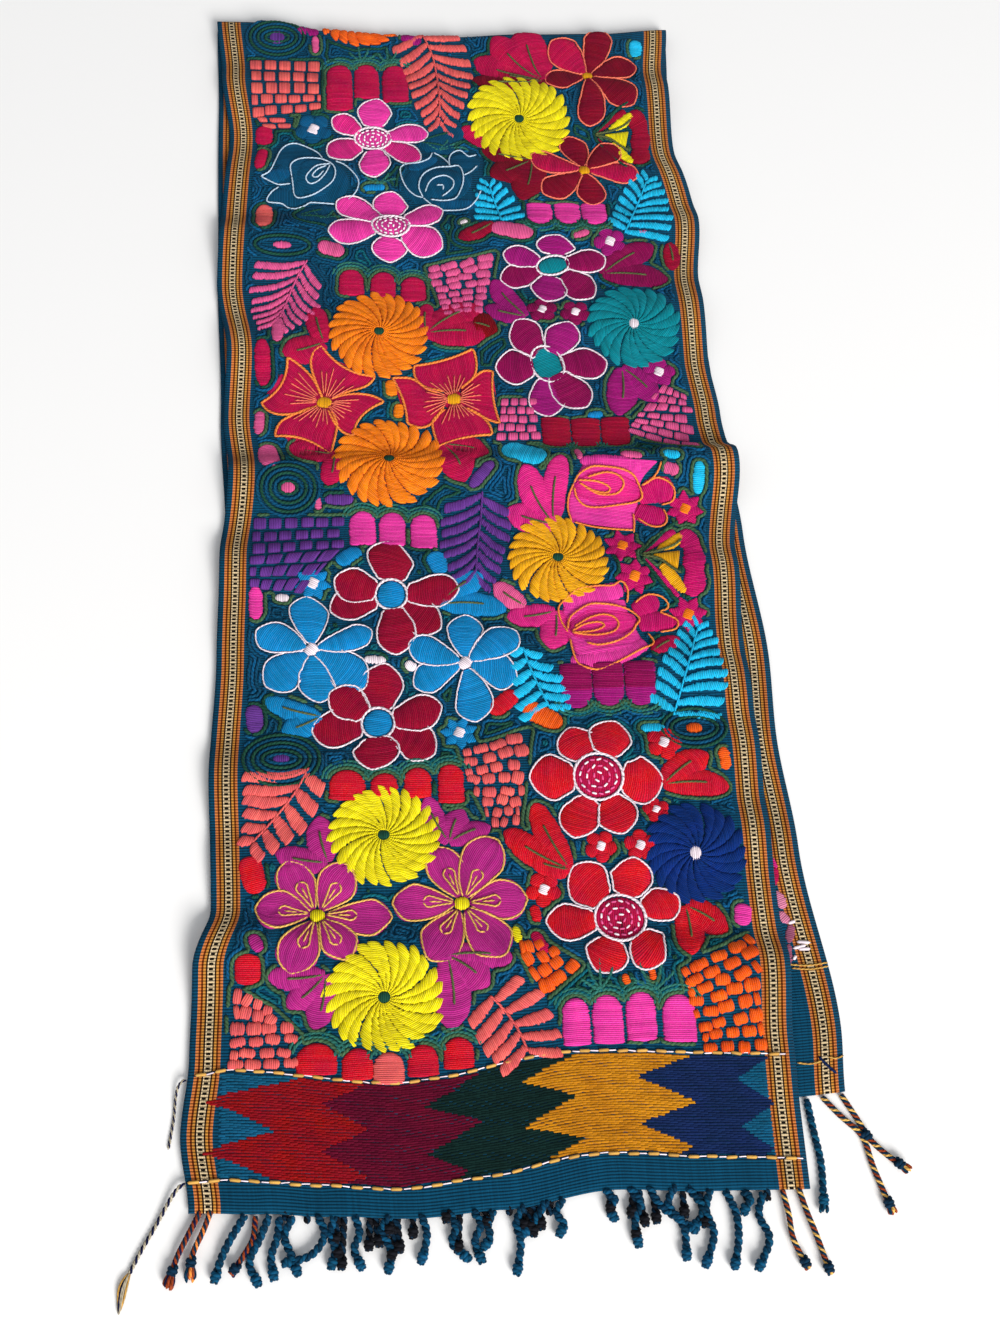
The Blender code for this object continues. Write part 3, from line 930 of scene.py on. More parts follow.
def speckled_heart(work, centre, size, ground, specks, rounds=(0.74, 0.46, 0.18), length=3.5):
    """A round heart: a white ring, then rings of short light stitches on a dark ground."""
    bit(work, ground, centre, (size[0] - 1, size[1] - 1))
    work.line("white", oval(centre, size), 1.05, 1.4, closed=True)
    for number, share in enumerate(rounds):
        across, deep = size[0] * share, size[1] * share
        count = max(3, round(pi * (across + deep) / 2 / (length + 0.9)))
        for k in range(count):
            angle = 2 * pi * (k + 0.4 * number) / count
            middle = (centre[0] + across / 2 * cos(angle), centre[1] + deep / 2 * sin(angle))
            work.dash(specks[(k + number) % len(specks)], middle,
                      angle + pi / 2 + work.random.normal(0, 0.2), length, 1.7, 0.8, base=1.3)


def pinwheel(work, yarn, heart, centre, size, turn):
    """A round flower of many curved blades whose slanted tips make a toothed rim.  Those with
    a white heart have fewer and flatter blades."""
    inner = 3.4
    blades, height, heart_size = (20, 2.0, (8, 11)) if heart == "white" else (24, 2.4, (9.5, 8))
    for k in range(blades):
        start = 2 * pi * (k + work.random.uniform(-0.14, 0.14)) / blades + radians(turn)
        grow = work.random.uniform(0.96, 1.03)
        spine, widths = [], []
        for s in np.linspace(0.0, 1.0, 11):
            angle = start + 0.62 * s ** 0.7
            reach = inner + (oval_reach(size, angle) * grow - inner) * s
            spine.append(polar(centre, angle, reach))
            widths.append(1.12 * pi * reach / blades * (1 - 0.5 * max(0.0, s - 0.85) / 0.15))
        work.pad(yarn, spine, widths, height, slant=-0.85, tips=(0.0, 1.0), pitch=1.45, fullness=1.9)
    bit(work, heart, centre, heart_size, height=height, round_share=0.8)


def bricks(work, yarn, corners, rows, columns, gap, lean, loose=False):
    """Rows of small raised blocks over a four-sided field: its corners run from the near
    left one round by the near right one.  Loose ones are rounded and not quite in line."""
    corners = np.reshape(corners, (4, 2)).astype(float)
    ECHOED.append(corners)
    near_left, near_right, far_right, far_left = corners
    for row in range(rows):
        low, high = row / rows, (row + 1) / rows
        shift = lean * (row % 2)
        for column in range(columns + (1 if row % 2 and lean else 0)):
            start = max(column - shift, 0.0) / columns
            end = min((column - shift + 1) / columns, 1.0)
            if (end - start) * columns < 0.4:
                continue
            near, far = [], []
            for share in (0.0, 0.22, 0.78, 1.0):
                over = start + (end - start) * share
                bottom = near_left + (near_right - near_left) * over
                top = far_left + (far_right - far_left) * over
                inset = unit(top - bottom) * (gap / 2 + (0.9 if share in (0.0, 1.0) else 0.0))
                near.append(bottom + (top - bottom) * low + inset)
                far.append(bottom + (top - bottom) * high - inset)
            if loose:
                run, deep = far[1] + near[2] - near[1] - far[1], np.linalg.norm(far[1] - near[1])
                middle = (near[1] + near[2] + far[1] + far[2]) / 4 + work.random.normal(0.0, 0.7, 2)
                size = (np.linalg.norm(near[3] - near[0]) - gap, deep + 0.5)
                size = [side * work.random.uniform(0.92, 1.1) for side in size]
                turn = degrees(atan2(run[1], run[0])) + work.random.normal(0.0, 9.0)
                bit(work, yarn, middle, size, turn, 2.2, round_share=0.38)
            else:
                over = unit(near[-1] - near[0]) * gap / 2
                wobble = work.random.normal(0.0, 0.35, 2)
                sides = [(side[0] + over + wobble, side[1] + wobble, side[2] + wobble,
                          side[3] - over + wobble) for side in (far, near)]
                work.panel(yarn, *sides, 2.2, along=False)


def fern(work, yarn, midrib, left, right, pairs, left_sweep, right_sweep=None):
    """Leaflets on both sides of a midrib, swept towards its tip.  Left and right are how far
    the leaflets run out along the midrib, and the sweeps are the degrees that they lean at its
    base and what that grows by at its tip."""
    line = smooth_line(np.reshape(midrib, (-1, 2)), 60)
    length = line_length(line)
    spots = np.linspace(0.0, 1.0, pairs + 1)[:-1] + 0.3 / pairs
    for side, spread, (sweep, growth) in ((1, left, left_sweep), (-1, right, right_sweep or left_sweep)):
        for spot in spots:
            index = int(min(spot + (0.25 / pairs if side > 0 else 0), 1) * 59)
            root = line[index]
            slope = line[min(index + 1, 59)] - line[max(index - 1, 0)]
            square = atan2(slope[1], slope[0]) + side * pi / 2
            reach = float(np.interp(spot, np.linspace(0, 1, len(spread)), spread))
            reach *= work.random.uniform(0.95, 1.05)
            turn = radians(sweep + growth * spot)
            middle = polar(root, square - side * turn * 1.2, reach * 0.5)
            tip = polar(middle, square - side * turn * 0.8, reach * 0.5)
            half = length / pairs * 0.42 * max(cos(turn), 0.6) * work.random.uniform(0.94, 1.08)
            work.pad(yarn, (polar(root, square - side * turn * 1.2, 0.4), middle, tip),
                     (half * 0.6, half, half), 1.9, slant=0.35 * side, tips=(0.8, 1.3))
    work.line(yarn, [(*p, 1.2) for p in line[::6]], 0.8, stitch=2.6)


def tabs(work, yarns, centres, size, hanging=False, gap=1.0, round_share=0.9, height=2.0, foot=None):
    """A row of upright rounded blocks with scalloped dark lines over their round ends.  A block
    may carry its own width and depth after its centre."""
    flip = -1 if hanging else 1
    for number, (x, y, *own_size) in enumerate(centres):
        width, deep = own_size or size
        half = width / 2 - gap / 2
        spine = [(x, y + flip * deep * s) for s in (-0.5, 0, 0.5)]
        work.pad(yarns[number % len(yarns)], spine, (half, half, half * 0.94), height,
                 tips=(1.2, min(half * round_share, deep * 0.5)), slant=work.random.uniform(-0.05, 0.05))
        if foot:
            work.pad(foot, ((x, y - flip * deep * 0.48), (x, y + flip * deep * 0.12)), half * 0.99,
                     height + 0.5, tips=(1.2, 1.0))
        for offset, radius in ((1.6, 1.25), (4.2, 1.05)):
            middle = (x, y + flip * (deep / 2 - half * 0.5))
            arc = [(middle[0] + (half + offset) * cos(pi * k / 6),
                    middle[1] + flip * (half * 0.66 + offset) * sin(pi * k / 6)) for k in range(7)]
            work.line("sage", arc, radius, 0.6)


def lobed_leaf(work, yarn, base, *lobes):
    """A leaf of one or more lobes that spread from its base, with a vein up each lobe."""
    vein = "pine" if yarn == "petrol" else "moss"
    height = 1.7
    for *tip, width in lobes:
        run = np.array(tip, float) - base
        length = np.linalg.norm(run)
        side = np.array((-run[1], run[0])) / length
        spine = (base, base + run * 0.5 + side * length * 0.04, tip)
        work.pad(yarn, spine, [width / 2 * w for w in (0.34, 0.86, 1.0, 0.94, 0.6)], height,
                 tips=(1.0, width * 0.36), bow=-0.25, slant=0.15)
        route = []
        for s in (0.0, 0.15, 0.3, 0.5, 0.66):
            place = base + run * s + side * length * 0.05 * sin(pi * s)
            route.append((*place, height * (0.35 + 0.75 * min(1.0, 4 * s * (1.05 - s)))))
        work.line(vein, route, 0.8, stitch=2.8)


def blossom(work, yarn, heart, centre, size, turn, pointed=0):
    """A small flower of five round petals, or of so many pointed ones, with a square heart."""
    count = pointed or 5
    for k in range(count):
        angle = radians(turn + 360 * k / count)
        half = size * (0.15 if pointed else 0.22)
        spine = [polar(centre, angle, size * s) for s in (0.08, 0.28, 0.5)]
        widths = (half * 0.8, half, half * 0.15) if pointed else (half * 0.6, half, half)
        work.pad(yarn, spine, widths, 1.5, tips=(0.6, 1.0 if pointed else half))
    bit(work, heart, centre, (size * 0.3, size * 0.3), 65.0, height=2.3, round_share=0.2)


RING_SPACING = 3.1


def rings(work, centre, size, yarns, heart, heart_size):
    """Closed rounds of stem stitch inside each other, of two yarns by turns, about a heart."""
    CLEAR.append(np.array(oval(centre, size, 24)))
    for k in range(int(min(size) / 2 / RING_SPACING)):
        inset = 2 * RING_SPACING * k
        work.line(yarns[k % 2], oval(centre, (size[0] - inset, size[1] - inset)), 1.25, 0.6, closed=True)
    bit(work, heart, centre, heart_size, height=1.7)


def drawn(work, yarn, radius, lift, *routes):
    """Lines of stem stitch of one yarn, one after the other, each a row of x and y by turns."""
    for route in routes:
        work.line(yarn, np.reshape(route, (-1, 2)), radius, lift)


def fan_flower(work, outer, inner, base):
    """A half-open flower seen from the side: three bright slips inside a scalloped cup."""
    def at(*flat):
        return np.reshape(flat, (-1, 2)) + base

    work.pad(outer, at(31, 22, 38, 8, 37, -13, 35, -33), (5.5, 8.4, 6.8, 8.6, 7.0, 8.6, 5.0), 1.9,
             tips=(4, 4), slant=0.2)
    work.pad(outer, at(2, 1, 14, 13, 27, 22), (0.8, 2.6, 3.2), 1.6, tips=(0, 2))
    work.pad(inner, at(13, 5, 23, 11, 33, 20), (1.5, 4.2, 4.6, 3.0), 2.0, tips=(1, 3), slant=0.3)
    work.panel(inner, at(9, 1, 19, 3, 29, 5), at(9, -1, 17, -6, 25, -13), 1.9, along=False)
    work.pad(inner, at(14, -8, 21, -19, 29, -30), (2.6, 5.0, 4.4, 2.4), 2.0, tips=(1, 2))
    work.pad(outer, at(3, -3, 13, -17, 24, -33), (0.6, 1.8, 1.6), 1.5, tips=(0, 1))
    drawn(work, "moss", 1.0, 2.2, at(1, 0, 13, 3, 24, 8, 31, 14), at(1, -1, 12, -4, 21, -12, 27, -16))
    drawn(work, "pine", 1.3, 0.9, at(0, 1, 12, 13, 20, 23, 30, 30), at(0, -3, 9, -17, 18, -30, 24, -37))


def sprout(work, base, *tips):
    """Arched lines of dark stem stitch that spread from one point."""
    for x, y in tips:
        bend = (x - base[0]) * 0.25
        middle = ((base[0] + x) / 2 + bend, (base[1] + y) / 2 + abs(bend) * 0.6)
        work.line("sage", (base, middle, (x, y)), 1.2, 0.7)


# ---- the chart, in millimetres on the plan

def sew_each(name, seed, rows, sew, echoed=True):
    """Makes one numbered piece of each row of a table."""
    for number, row in enumerate(rows):
        work = Needlework(seed + number, echoed)
        sew(work, *row)
        work.finish(name.format(number + 1))


Flower = namedtuple("Flower", "yarn centre heart petals")

# Each petal is the place of its tip and its width, and its yarn where that differs.
PETAL_FLOWERS = (
    Flower("pink", (124, 823), "pale specks", (
        (129, 860, 27), (168, 829, 17), (161, 800, 21, "rose"), (125, 781, 24), (89, 803, 25, "rose"),
        (92, 842, 18, "rose"))),
    Flower("pink", (136, 731), "pale specks", (
        (139, 768, 27), (177, 750, 22), (175, 711, 28), (135, 698, 28), (88, 724, 24), (95, 759, 23))),
    Flower("garnet", (301, 890), "gold", (
        (314, 940, 23), (342, 902, 26), (336, 858, 28), (299, 838, 22), (266, 881, 25),
        (273, 926, 30, "cerise"))),
    Flower("garnet", (291, 790), "gold", (
        (281, 828, 22), (321, 818, 23), (334, 785, 21, "cerise"), (296, 757, 23), (257, 768, 23),
        (249, 806, 22, "cerise"))),
    Flower("plum", (260, 697), "flat oval", (
        (267, 724, 31), (301, 705, 20, "berry"), (289, 665, 27, "berry"), (252, 661, 28),
        (219, 684, 22, "berry"), (222, 707, 18))),
    Flower("plum", (250, 604), "tall oval", (
        (228, 642, 26, "berry"), (269, 640, 25), (295, 607, 26, "berry"), (277, 566, 28, "berry"),
        (249, 558, 28), (211, 601, 30, "berry"))),
    Flower("crimson", (129, 409), "blue oval", (
        (132, 451, 32), (176, 413, 23), (162, 381, 27), (132, 362, 26), (87, 396, 25), (90, 421, 25))),
    Flower("crimson", (118, 312), "blue oval", (
        (124, 356, 28), (161, 324, 25), (155, 288, 28), (114, 277, 31), (74, 308, 28), (86, 335, 25))),
    Flower("scarlet", (263, 270), "specks", (
        (246, 306, 28), (278, 310, 29), (306, 268, 33), (277, 229, 28), (244, 227, 26), (217, 270, 31))),
    Flower("scarlet", (270, 172), "specks", (
        (242, 208, 30), (282, 213, 27), (309, 186, 23), (295, 142, 29), (252, 137, 28), (222, 171, 25))),
)
STAMEN_FLOWERS = (
    Flower("magenta", (77, 179), "lemon", (
        (58, 215, 25), (98, 211, 28), (124, 177, 26), (96, 149, 24), (60, 141, 28), (38, 185, 29))),
    Flower("magenta", (169, 185), "lemon", (
        (154, 223, 26), (193, 227, 29), (211, 187, 29), (194, 149, 30), (146, 148, 29), (125, 188, 26))),
)
POINTED_FLOWERS = (
    Flower("blue", (74, 367), "white", (
        (71, 408, 27), (37, 382, 23), (43, 341, 29), (79, 328, 25), (110, 339, 28), (115, 380, 18))),
    Flower("blue", (178, 355), "white", (
        (180, 393, 25), (214, 379, 24), (213, 344, 26), (184, 312, 26), (143, 339, 22), (140, 370, 21))),
)
# Kinds of open heart, for the petals round them: outline yarn, how far from the middle they
# start, and the share of their width there.
OPEN_HEARTS = {"specks": ("white", 16.0, 0.5), "pale specks": ("white", 12.0, 0.5),
               "gold": ("peach", 4.0, 0.16)}
# Yarn, size and turn of the oval hearts.
OVAL_HEARTS = {"flat oval": ("turquoise", (24, 15), 15), "tall oval": ("turquoise", (30, 22), 110),
               "blue oval": ("blue", (21, 20), 80)}


def sew_petals(work, flower, outline, inner, foot, lift, stamens=False, **looks):
    """All the petals of a flower, every other one raised, each with its stamens if it has them."""
    for count, (x, y, width, *own) in enumerate(flower.petals):
        petal(work, own[0] if own else flower.yarn, outline, flower.centre, (x, y), width, inner, foot,
              base=lift * (count % 2), **looks)
        if stamens:
            angle = atan2(y - flower.centre[1], x - flower.centre[0])
            for lean in (-0.10, 0.10):
                loop = [(*polar(flower.centre, angle + lean * s, 6 + 19 * r), 2.2)
                        for r, s in ((0, 0.6), (0.5, 1.5), (0.85, 1.7), (1, 0.2))]
                work.line(outline, loop, 0.65, stitch=3.6)
            stem = [(*polar(flower.centre, angle, r), 2.2) for r in (13, 17, 21)]
            work.line(outline, stem, 0.6, stitch=3.6)


class RUNNER_OT_petal_flowers(bpy.types.Operator):
    """Embroider the six-petalled flowers with their stem-stitch outlines"""
    bl_idname = "runner.petal_flowers"
    bl_label = "Petal flowers"

    def execute(self, context):
        for number, flower in enumerate(PETAL_FLOWERS):
            work = Needlework(100 + number, echoed=False)
            sew_petals(work, flower, *OPEN_HEARTS.get(flower.heart, ("white", 10.5, 0.5)), 0.55)
            if flower.heart == "specks":
                speckled_heart(work, flower.centre, (33, 32), "cerise", ("white", "salmon"))
            elif flower.heart == "pale specks":
                speckled_heart(work, flower.centre, (29, 22), "pink", ("white",), (0.76, 0.48, 0.16), 2.8)
            elif flower.heart == "gold":
                bit(work, "gold", flower.centre, (9, 10), height=2.4, round_share=0.7)
            else:
                yarn, (wide, deep), turn = OVAL_HEARTS[flower.heart]
                bit(work, yarn, flower.centre, (wide, deep), turn, height=2.0)
                rim = oval(flower.centre, (wide + 2, deep + 2), turn=turn)
                work.line("white", rim, 1.0, 1.3, closed=True)
            work.finish(f"petal_flower_{number + 1:02d}")
        for number, flower in enumerate(STAMEN_FLOWERS):
            work = Needlework(120 + number, echoed=False)
            sew_petals(work, flower, "straw", 4.0, 0.16, 0.5, stamens=True, along=True)
            bit(work, flower.heart, flower.centre, (10, 9.5), height=2.5, round_share=0.7)
            work.finish(f"stamen_flower_{number + 1}")
        for number, flower in enumerate(POINTED_FLOWERS):
            work = Needlework(130 + number, echoed=False)
            sew_petals(work, flower, "white", 4.0, 0.16, 0.5, outline_radius=0.6)
            bit(work, flower.heart, flower.centre, (10, 9), 50, height=2.5, round_share=0.5)
            work.finish(f"pointed_flower_{number + 1}")
        return {"FINISHED"}


# Yarn, yarn of the heart, middle, size and turn.
PINWHEELS = (
    ("orange", "pine", (116, 954), (76, 72), 0), ("lemon", "pine", (242, 844), (82, 86), 7),
    ("marigold", "pine", (125, 631), (75, 78), 14), ("marigold", "pine", (130, 518), (80, 74), 21),
    ("turquoise", "white", (318, 639), (71, 73), 28), ("gold", "pine", (247, 437), (72, 71), 35),
    ("lemon", "pine", (120, 232), (74, 68), 42), ("lemon", "pine", (118, 125), (76, 70), 49),
    ("navy", "white", (323, 215), (66, 70), 56),
)


class RUNNER_OT_pinwheels(bpy.types.Operator):
    """Embroider the round flowers of curved blades"""
    bl_idname = "runner.pinwheels"
    bl_label = "Pinwheels"

    def execute(self, context):
        sew_each("pinwheel_{}", 200, PINWHEELS, pinwheel, False)
        return {"FINISHED"}


# Yarn, corners, rows, columns, gap, lean, and whether the blocks are loose.
BRICK_FIELDS = (
    ("coral", (27, 864, 83, 864, 84, 904, 25, 904), 3, 5, 2.4, 0.1),
    ("coral", (28, 842, 84, 850, 84, 865, 27, 865), 2, 5, 2.0, 0.4),
    ("coral", (38, 832, 60, 832, 62, 844, 30, 844), 2, 2, 2.0, 0.4),
    ("salmon", (175, 646, 204, 650, 218, 709, 162, 695), 8, 4, 0.7, 0.2, True),
    ("salmon", (208, 537, 242, 537, 240, 575, 214, 575), 5, 4, 1.2, 0.3),
    ("salmon", (304, 545, 357, 522, 356, 560, 316, 562), 4, 4, 1.2, 0.4),
    ("salmon", (318, 563, 357, 561, 353, 578, 336, 588), 3, 4, 1.2, 0.4),
    ("violet", (31, 414, 68, 410, 96, 446, 31, 438), 3, 5, 1.8, 0.4),
    ("violet", (32, 438, 98, 446, 99, 474, 32, 474), 3, 6, 2.4, 0.3),
    ("coral", (177, 266, 214, 266, 221, 307, 171, 290), 4, 4, 1.2, 0.4, True),
    ("coral", (191, 236, 209, 236, 214, 266, 178, 265), 4, 3, 1.2, 0.5, True),
    ("coral", (21, 82, 65, 82, 67, 104, 22, 104), 3, 4, 1.5, 0.4, True),
    ("coral", (22, 104, 66, 104, 47, 122, 24, 135), 3, 4, 1.5, 0.4, True),
    ("brick", (218, 121, 243, 141, 219, 159, 200, 158), 4, 3, 0.8, 0.4, True),
    ("brick", (316, 84, 356, 84, 355, 160, 304, 137), 8, 4, 1.4, 0.5, True),
)


class RUNNER_OT_bricks(bpy.types.Operator):
    """Embroider the fields of small raised blocks"""
    bl_idname = "runner.bricks"
    bl_label = "Bricks"

    def execute(self, context):
        sew_each("brick_field_{:02d}", 300, BRICK_FIELDS, bricks, None)
        return {"FINISHED"}


# Yarn, midrib, reaches of the leaflets on its left and right, pairs, and how they are swept.
FERNS = (
    ("coral", (166, 932, 175, 905, 178, 870, 178, 836), (30, 32, 26, 16), (30, 31, 26, 14), 10, (15, 42)),
    ("salmon", (72, 699, 64, 684, 56, 660, 50, 640), (22, 33, 25, 14), (40, 38, 30, 20), 8,
     (28, 26), (32, 26)),
    ("violet", (196, 492, 194, 470, 191, 450, 188, 420), (24, 26, 24, 14), (30, 34, 28, 16), 8, (25, 25)),
    ("coral", (72, 279, 62, 261, 46, 241, 32, 224), (16, 22, 19, 10), (43, 31, 18, 6), 6, (14, 10), (32, 4)),
    ("coral", (184, 124, 193, 114, 201, 101, 207, 85), (22, 26, 25, 20), (22, 26, 25, 20), 5, (2, 26)),
    ("cyan", (222, 738, 220, 752, 217, 764, 214, 778), (20, 19, 14, 8), (21, 20, 15, 6), 6, (8, 45)),
    ("cyan", (318, 726, 326, 744, 333, 762, 342, 784), (18, 18, 18, 8), (36, 32, 22, 8), 8, (12, 40)),
    ("cyan", (234, 322, 227, 338, 221, 354, 217, 370), (24, 20, 14, 8), (14, 24, 20, 10), 6,
     (-10, -12), (-30, -8)),
    ("cyan", (318, 314, 326, 337, 334, 359, 343, 386), (20, 20, 18, 8), (33, 31, 22, 8), 9, (12, 40)),
)


class RUNNER_OT_ferns(bpy.types.Operator):
    """Embroider the fern leaves of long raised leaflets"""
    bl_idname = "runner.ferns"
    bl_label = "Ferns"

    def execute(self, context):
        sew_each("fern_{}", 400, FERNS, fern, False)
        return {"FINISHED"}


# Yarns by turns, centres, and the width and depth of a block; then whether the row hangs, and its
# gap, roundness, height and foot where they are not the usual ones.
TAB_ROWS = (
    (("cerise",), ((98, 874, 23, 50), (120, 880, 22, 39), (143, 878, 23, 42)), None),
    (("pink",), ((253, 747), (275, 747), (296, 747)), (22, 25), True, 1.0, 0.9, 1.8),
    (("cerise",), ((105, 680), (129, 678), (152, 674)), (21, 24)),
    (("crimson",), ((253, 544), (275, 543), (297, 544)), (22.5, 27), True, 0.2, 0.5),
    (("pink",), ((110, 463), (131, 462), (153, 460)), (20, 29), False, 0.6),
    (("plum",), ((253, 337), (275, 338), (297, 338)), (22.5, 32), True, 0.2, 0.9, 2.0, "berry"),
    (("scarlet",), ((97, 267, 26, 21), (121, 267, 20, 16), (143, 268), (165, 267, 19, 27)), (20, 21)),
    (("pink",), ((237, 106, 19, 30), (257, 107), (278, 108), (302, 106, 23, 30)), (21, 31)),
    (("scarlet", "scarlet", "coral", "scarlet", "scarlet"),
     ((76, 88, 27, 20), (101, 84), (120, 81), (141, 85), (163, 89)), (21, 20)),
)


class RUNNER_OT_tabs(bpy.types.Operator):
    """Embroider the rows of rounded upright blocks"""
    bl_idname = "runner.tabs"
    bl_label = "Tabs"

    def execute(self, context):
        sew_each("tab_row_{}", 501, TAB_ROWS, tabs)
        return {"FINISHED"}


# Yarn, foot of the leaf, and the tip and width of each lobe.
LEAVES = (
    ("cerise", (264, 884), (250, 942, 34), (224, 930, 32), (208, 906, 28)),
    # This row darkens the lower lobes of the cerise leaf before it with garnet: painted shade.
    ("garnet", (266, 882), (206, 884, 22), (222, 896, 20)),
    ("garnet", (250, 802), (210, 814, 20), (216, 784, 28), (240, 762, 28)),
    ("crimson", (216, 736), (188, 720, 14)), ("berry", (298, 690), (340, 716, 22), (350, 684, 24)),
    ("crimson", (352, 718), (354, 694, 14)),
    ("plum", (236, 646), (213, 684, 20), (205, 656, 18), (224, 664, 14)),
    ("plum", (306, 602), (301, 559, 25), (331, 572, 22)),
    ("cerise", (84, 620), (78, 657, 18), (53, 610, 25)),
    ("cerise", (160, 630), (202, 658, 26), (206, 630, 26), (162, 660, 14)),
    ("ruby", (196, 640), (214, 632, 26)), ("cerise", (91, 524), (58, 532, 22), (86, 495, 17)),
    ("cerise", (170, 534), (203, 524, 24), (184, 499, 28)),
    ("rose", (246, 466), (254, 520, 19), (226, 512, 22), (212, 478, 24)),
    ("salmon", (222, 400), (200, 417, 16)), ("rose", (243, 396), (208, 391, 19), (238, 363, 23)),
    ("cerise", (308, 362), (328, 374, 13)), ("blue", (162, 402), (193, 425, 21), (209, 398, 19)),
    ("blue", (80, 318), (42, 331, 15), (54, 307, 19), (60, 324, 13)),
    ("magenta", (162, 226), (148, 259, 16), (190, 237, 16), (172, 250, 19)),
    ("magenta", (84, 214), (78, 247, 20), (50, 221, 18)),
    ("magenta", (82, 140), (46, 139, 16), (75, 106, 20), (58, 120, 18)),
    ("magenta", (158, 150), (200, 147, 17), (160, 103, 24), (184, 130, 26)),
    ("scarlet", (306, 264), (338, 285, 21), (351, 262, 19)),
    ("scarlet", (240, 206), (219, 253, 19), (198, 233, 20), (214, 214, 17)),
    ("scarlet", (313, 180), (313, 145, 20), (339, 161, 21)),
    ("petrol", (160, 820), (198, 832, 22), (190, 812, 18)),
    ("petrol", (64, 742), (94, 752, 14), (96, 736, 14)),
)
FAN_FLOWERS = (("crimson", "lemon", (302, 830)), ("fuchsia", "gold", (306, 438)))


class RUNNER_OT_leaves(bpy.types.Operator):
    """Embroider the lobed leaves with dark veins, and the two half-open flowers"""
    bl_idname = "runner.leaves"
    bl_label = "Leaves"

    def execute(self, context):
        sew_each("leaf_{:02d}", 600, LEAVES, lobed_leaf)
        sew_each("fan_flower_{}", 650, FAN_FLOWERS, fan_flower)
        return {"FINISHED"}


# Teal roses: patches (yarn, middle, size, turn, and height where it is not one millimetre), then
# lines drawn low and high over them.
TEAL_ROSES = (
    ((("petrol", (76, 780), (58, 50), 160), ("petrol", (62, 800), (36, 32), 100),
      ("ocean", (50, 782), (22, 14), 20), ("petrol", (56, 762), (30, 18), 0),
      ("petrol", (78, 781), (36, 32), 100, 1.7)),
     ((36, 780, 43, 785, 47, 795, 51, 808, 56, 815, 63, 817, 72, 813, 80, 807, 84, 800),
      (36, 780, 43, 776, 50, 773, 59, 774),
      (50, 771, 44, 766, 41, 758, 52, 756, 57, 752, 63, 751, 70, 754, 74, 757, 80, 757, 93, 756),
      (94, 797, 101, 793, 108, 785, 112, 777, 110, 768, 103, 760, 95, 755)),
     ((60, 780, 59, 790, 63, 796, 70, 799, 80, 799, 86, 797, 92, 792, 94, 785, 92, 777, 85, 770, 76, 764,
       66, 761, 62, 764, 61, 772, 60, 780),
      (90, 793, 80, 791, 74, 785, 71, 779, 74, 774, 80, 776, 86, 783, 90, 792),
      (87, 791, 80, 787, 76, 781, 80, 780, 85, 786))),
    ((("petrol", (174, 778), (56, 46), 20), ("ocean", (163, 797), (26, 14), 30),
      ("petrol", (196, 798), (24, 26), 90), ("ocean", (186, 756), (38, 14), 5),
      ("petrol", (177, 777), (34, 30), 20, 1.7)),
     ((171, 809, 168, 802, 160, 797, 150, 795, 145, 790, 146, 780, 150, 771, 156, 765, 162, 763),
      (172, 809, 178, 804, 183, 797, 184, 792),
      (184, 793, 184, 802, 187, 809, 193, 812, 197, 808, 200, 805, 206, 807),
      (162, 763, 168, 757, 174, 751, 184, 750, 195, 752, 203, 760, 208, 770),
      (195, 784, 201, 788, 206, 794)),
     ((162, 763, 159, 772, 161, 781, 166, 787, 174, 791, 184, 792, 191, 793, 194, 786, 194, 777, 191, 768,
       187, 762, 178, 760, 168, 761),
      (164, 768, 167, 776, 172, 781, 180, 783, 186, 779, 186, 773, 182, 768, 177, 764),
      (173, 774, 178, 774, 178, 770))),
)
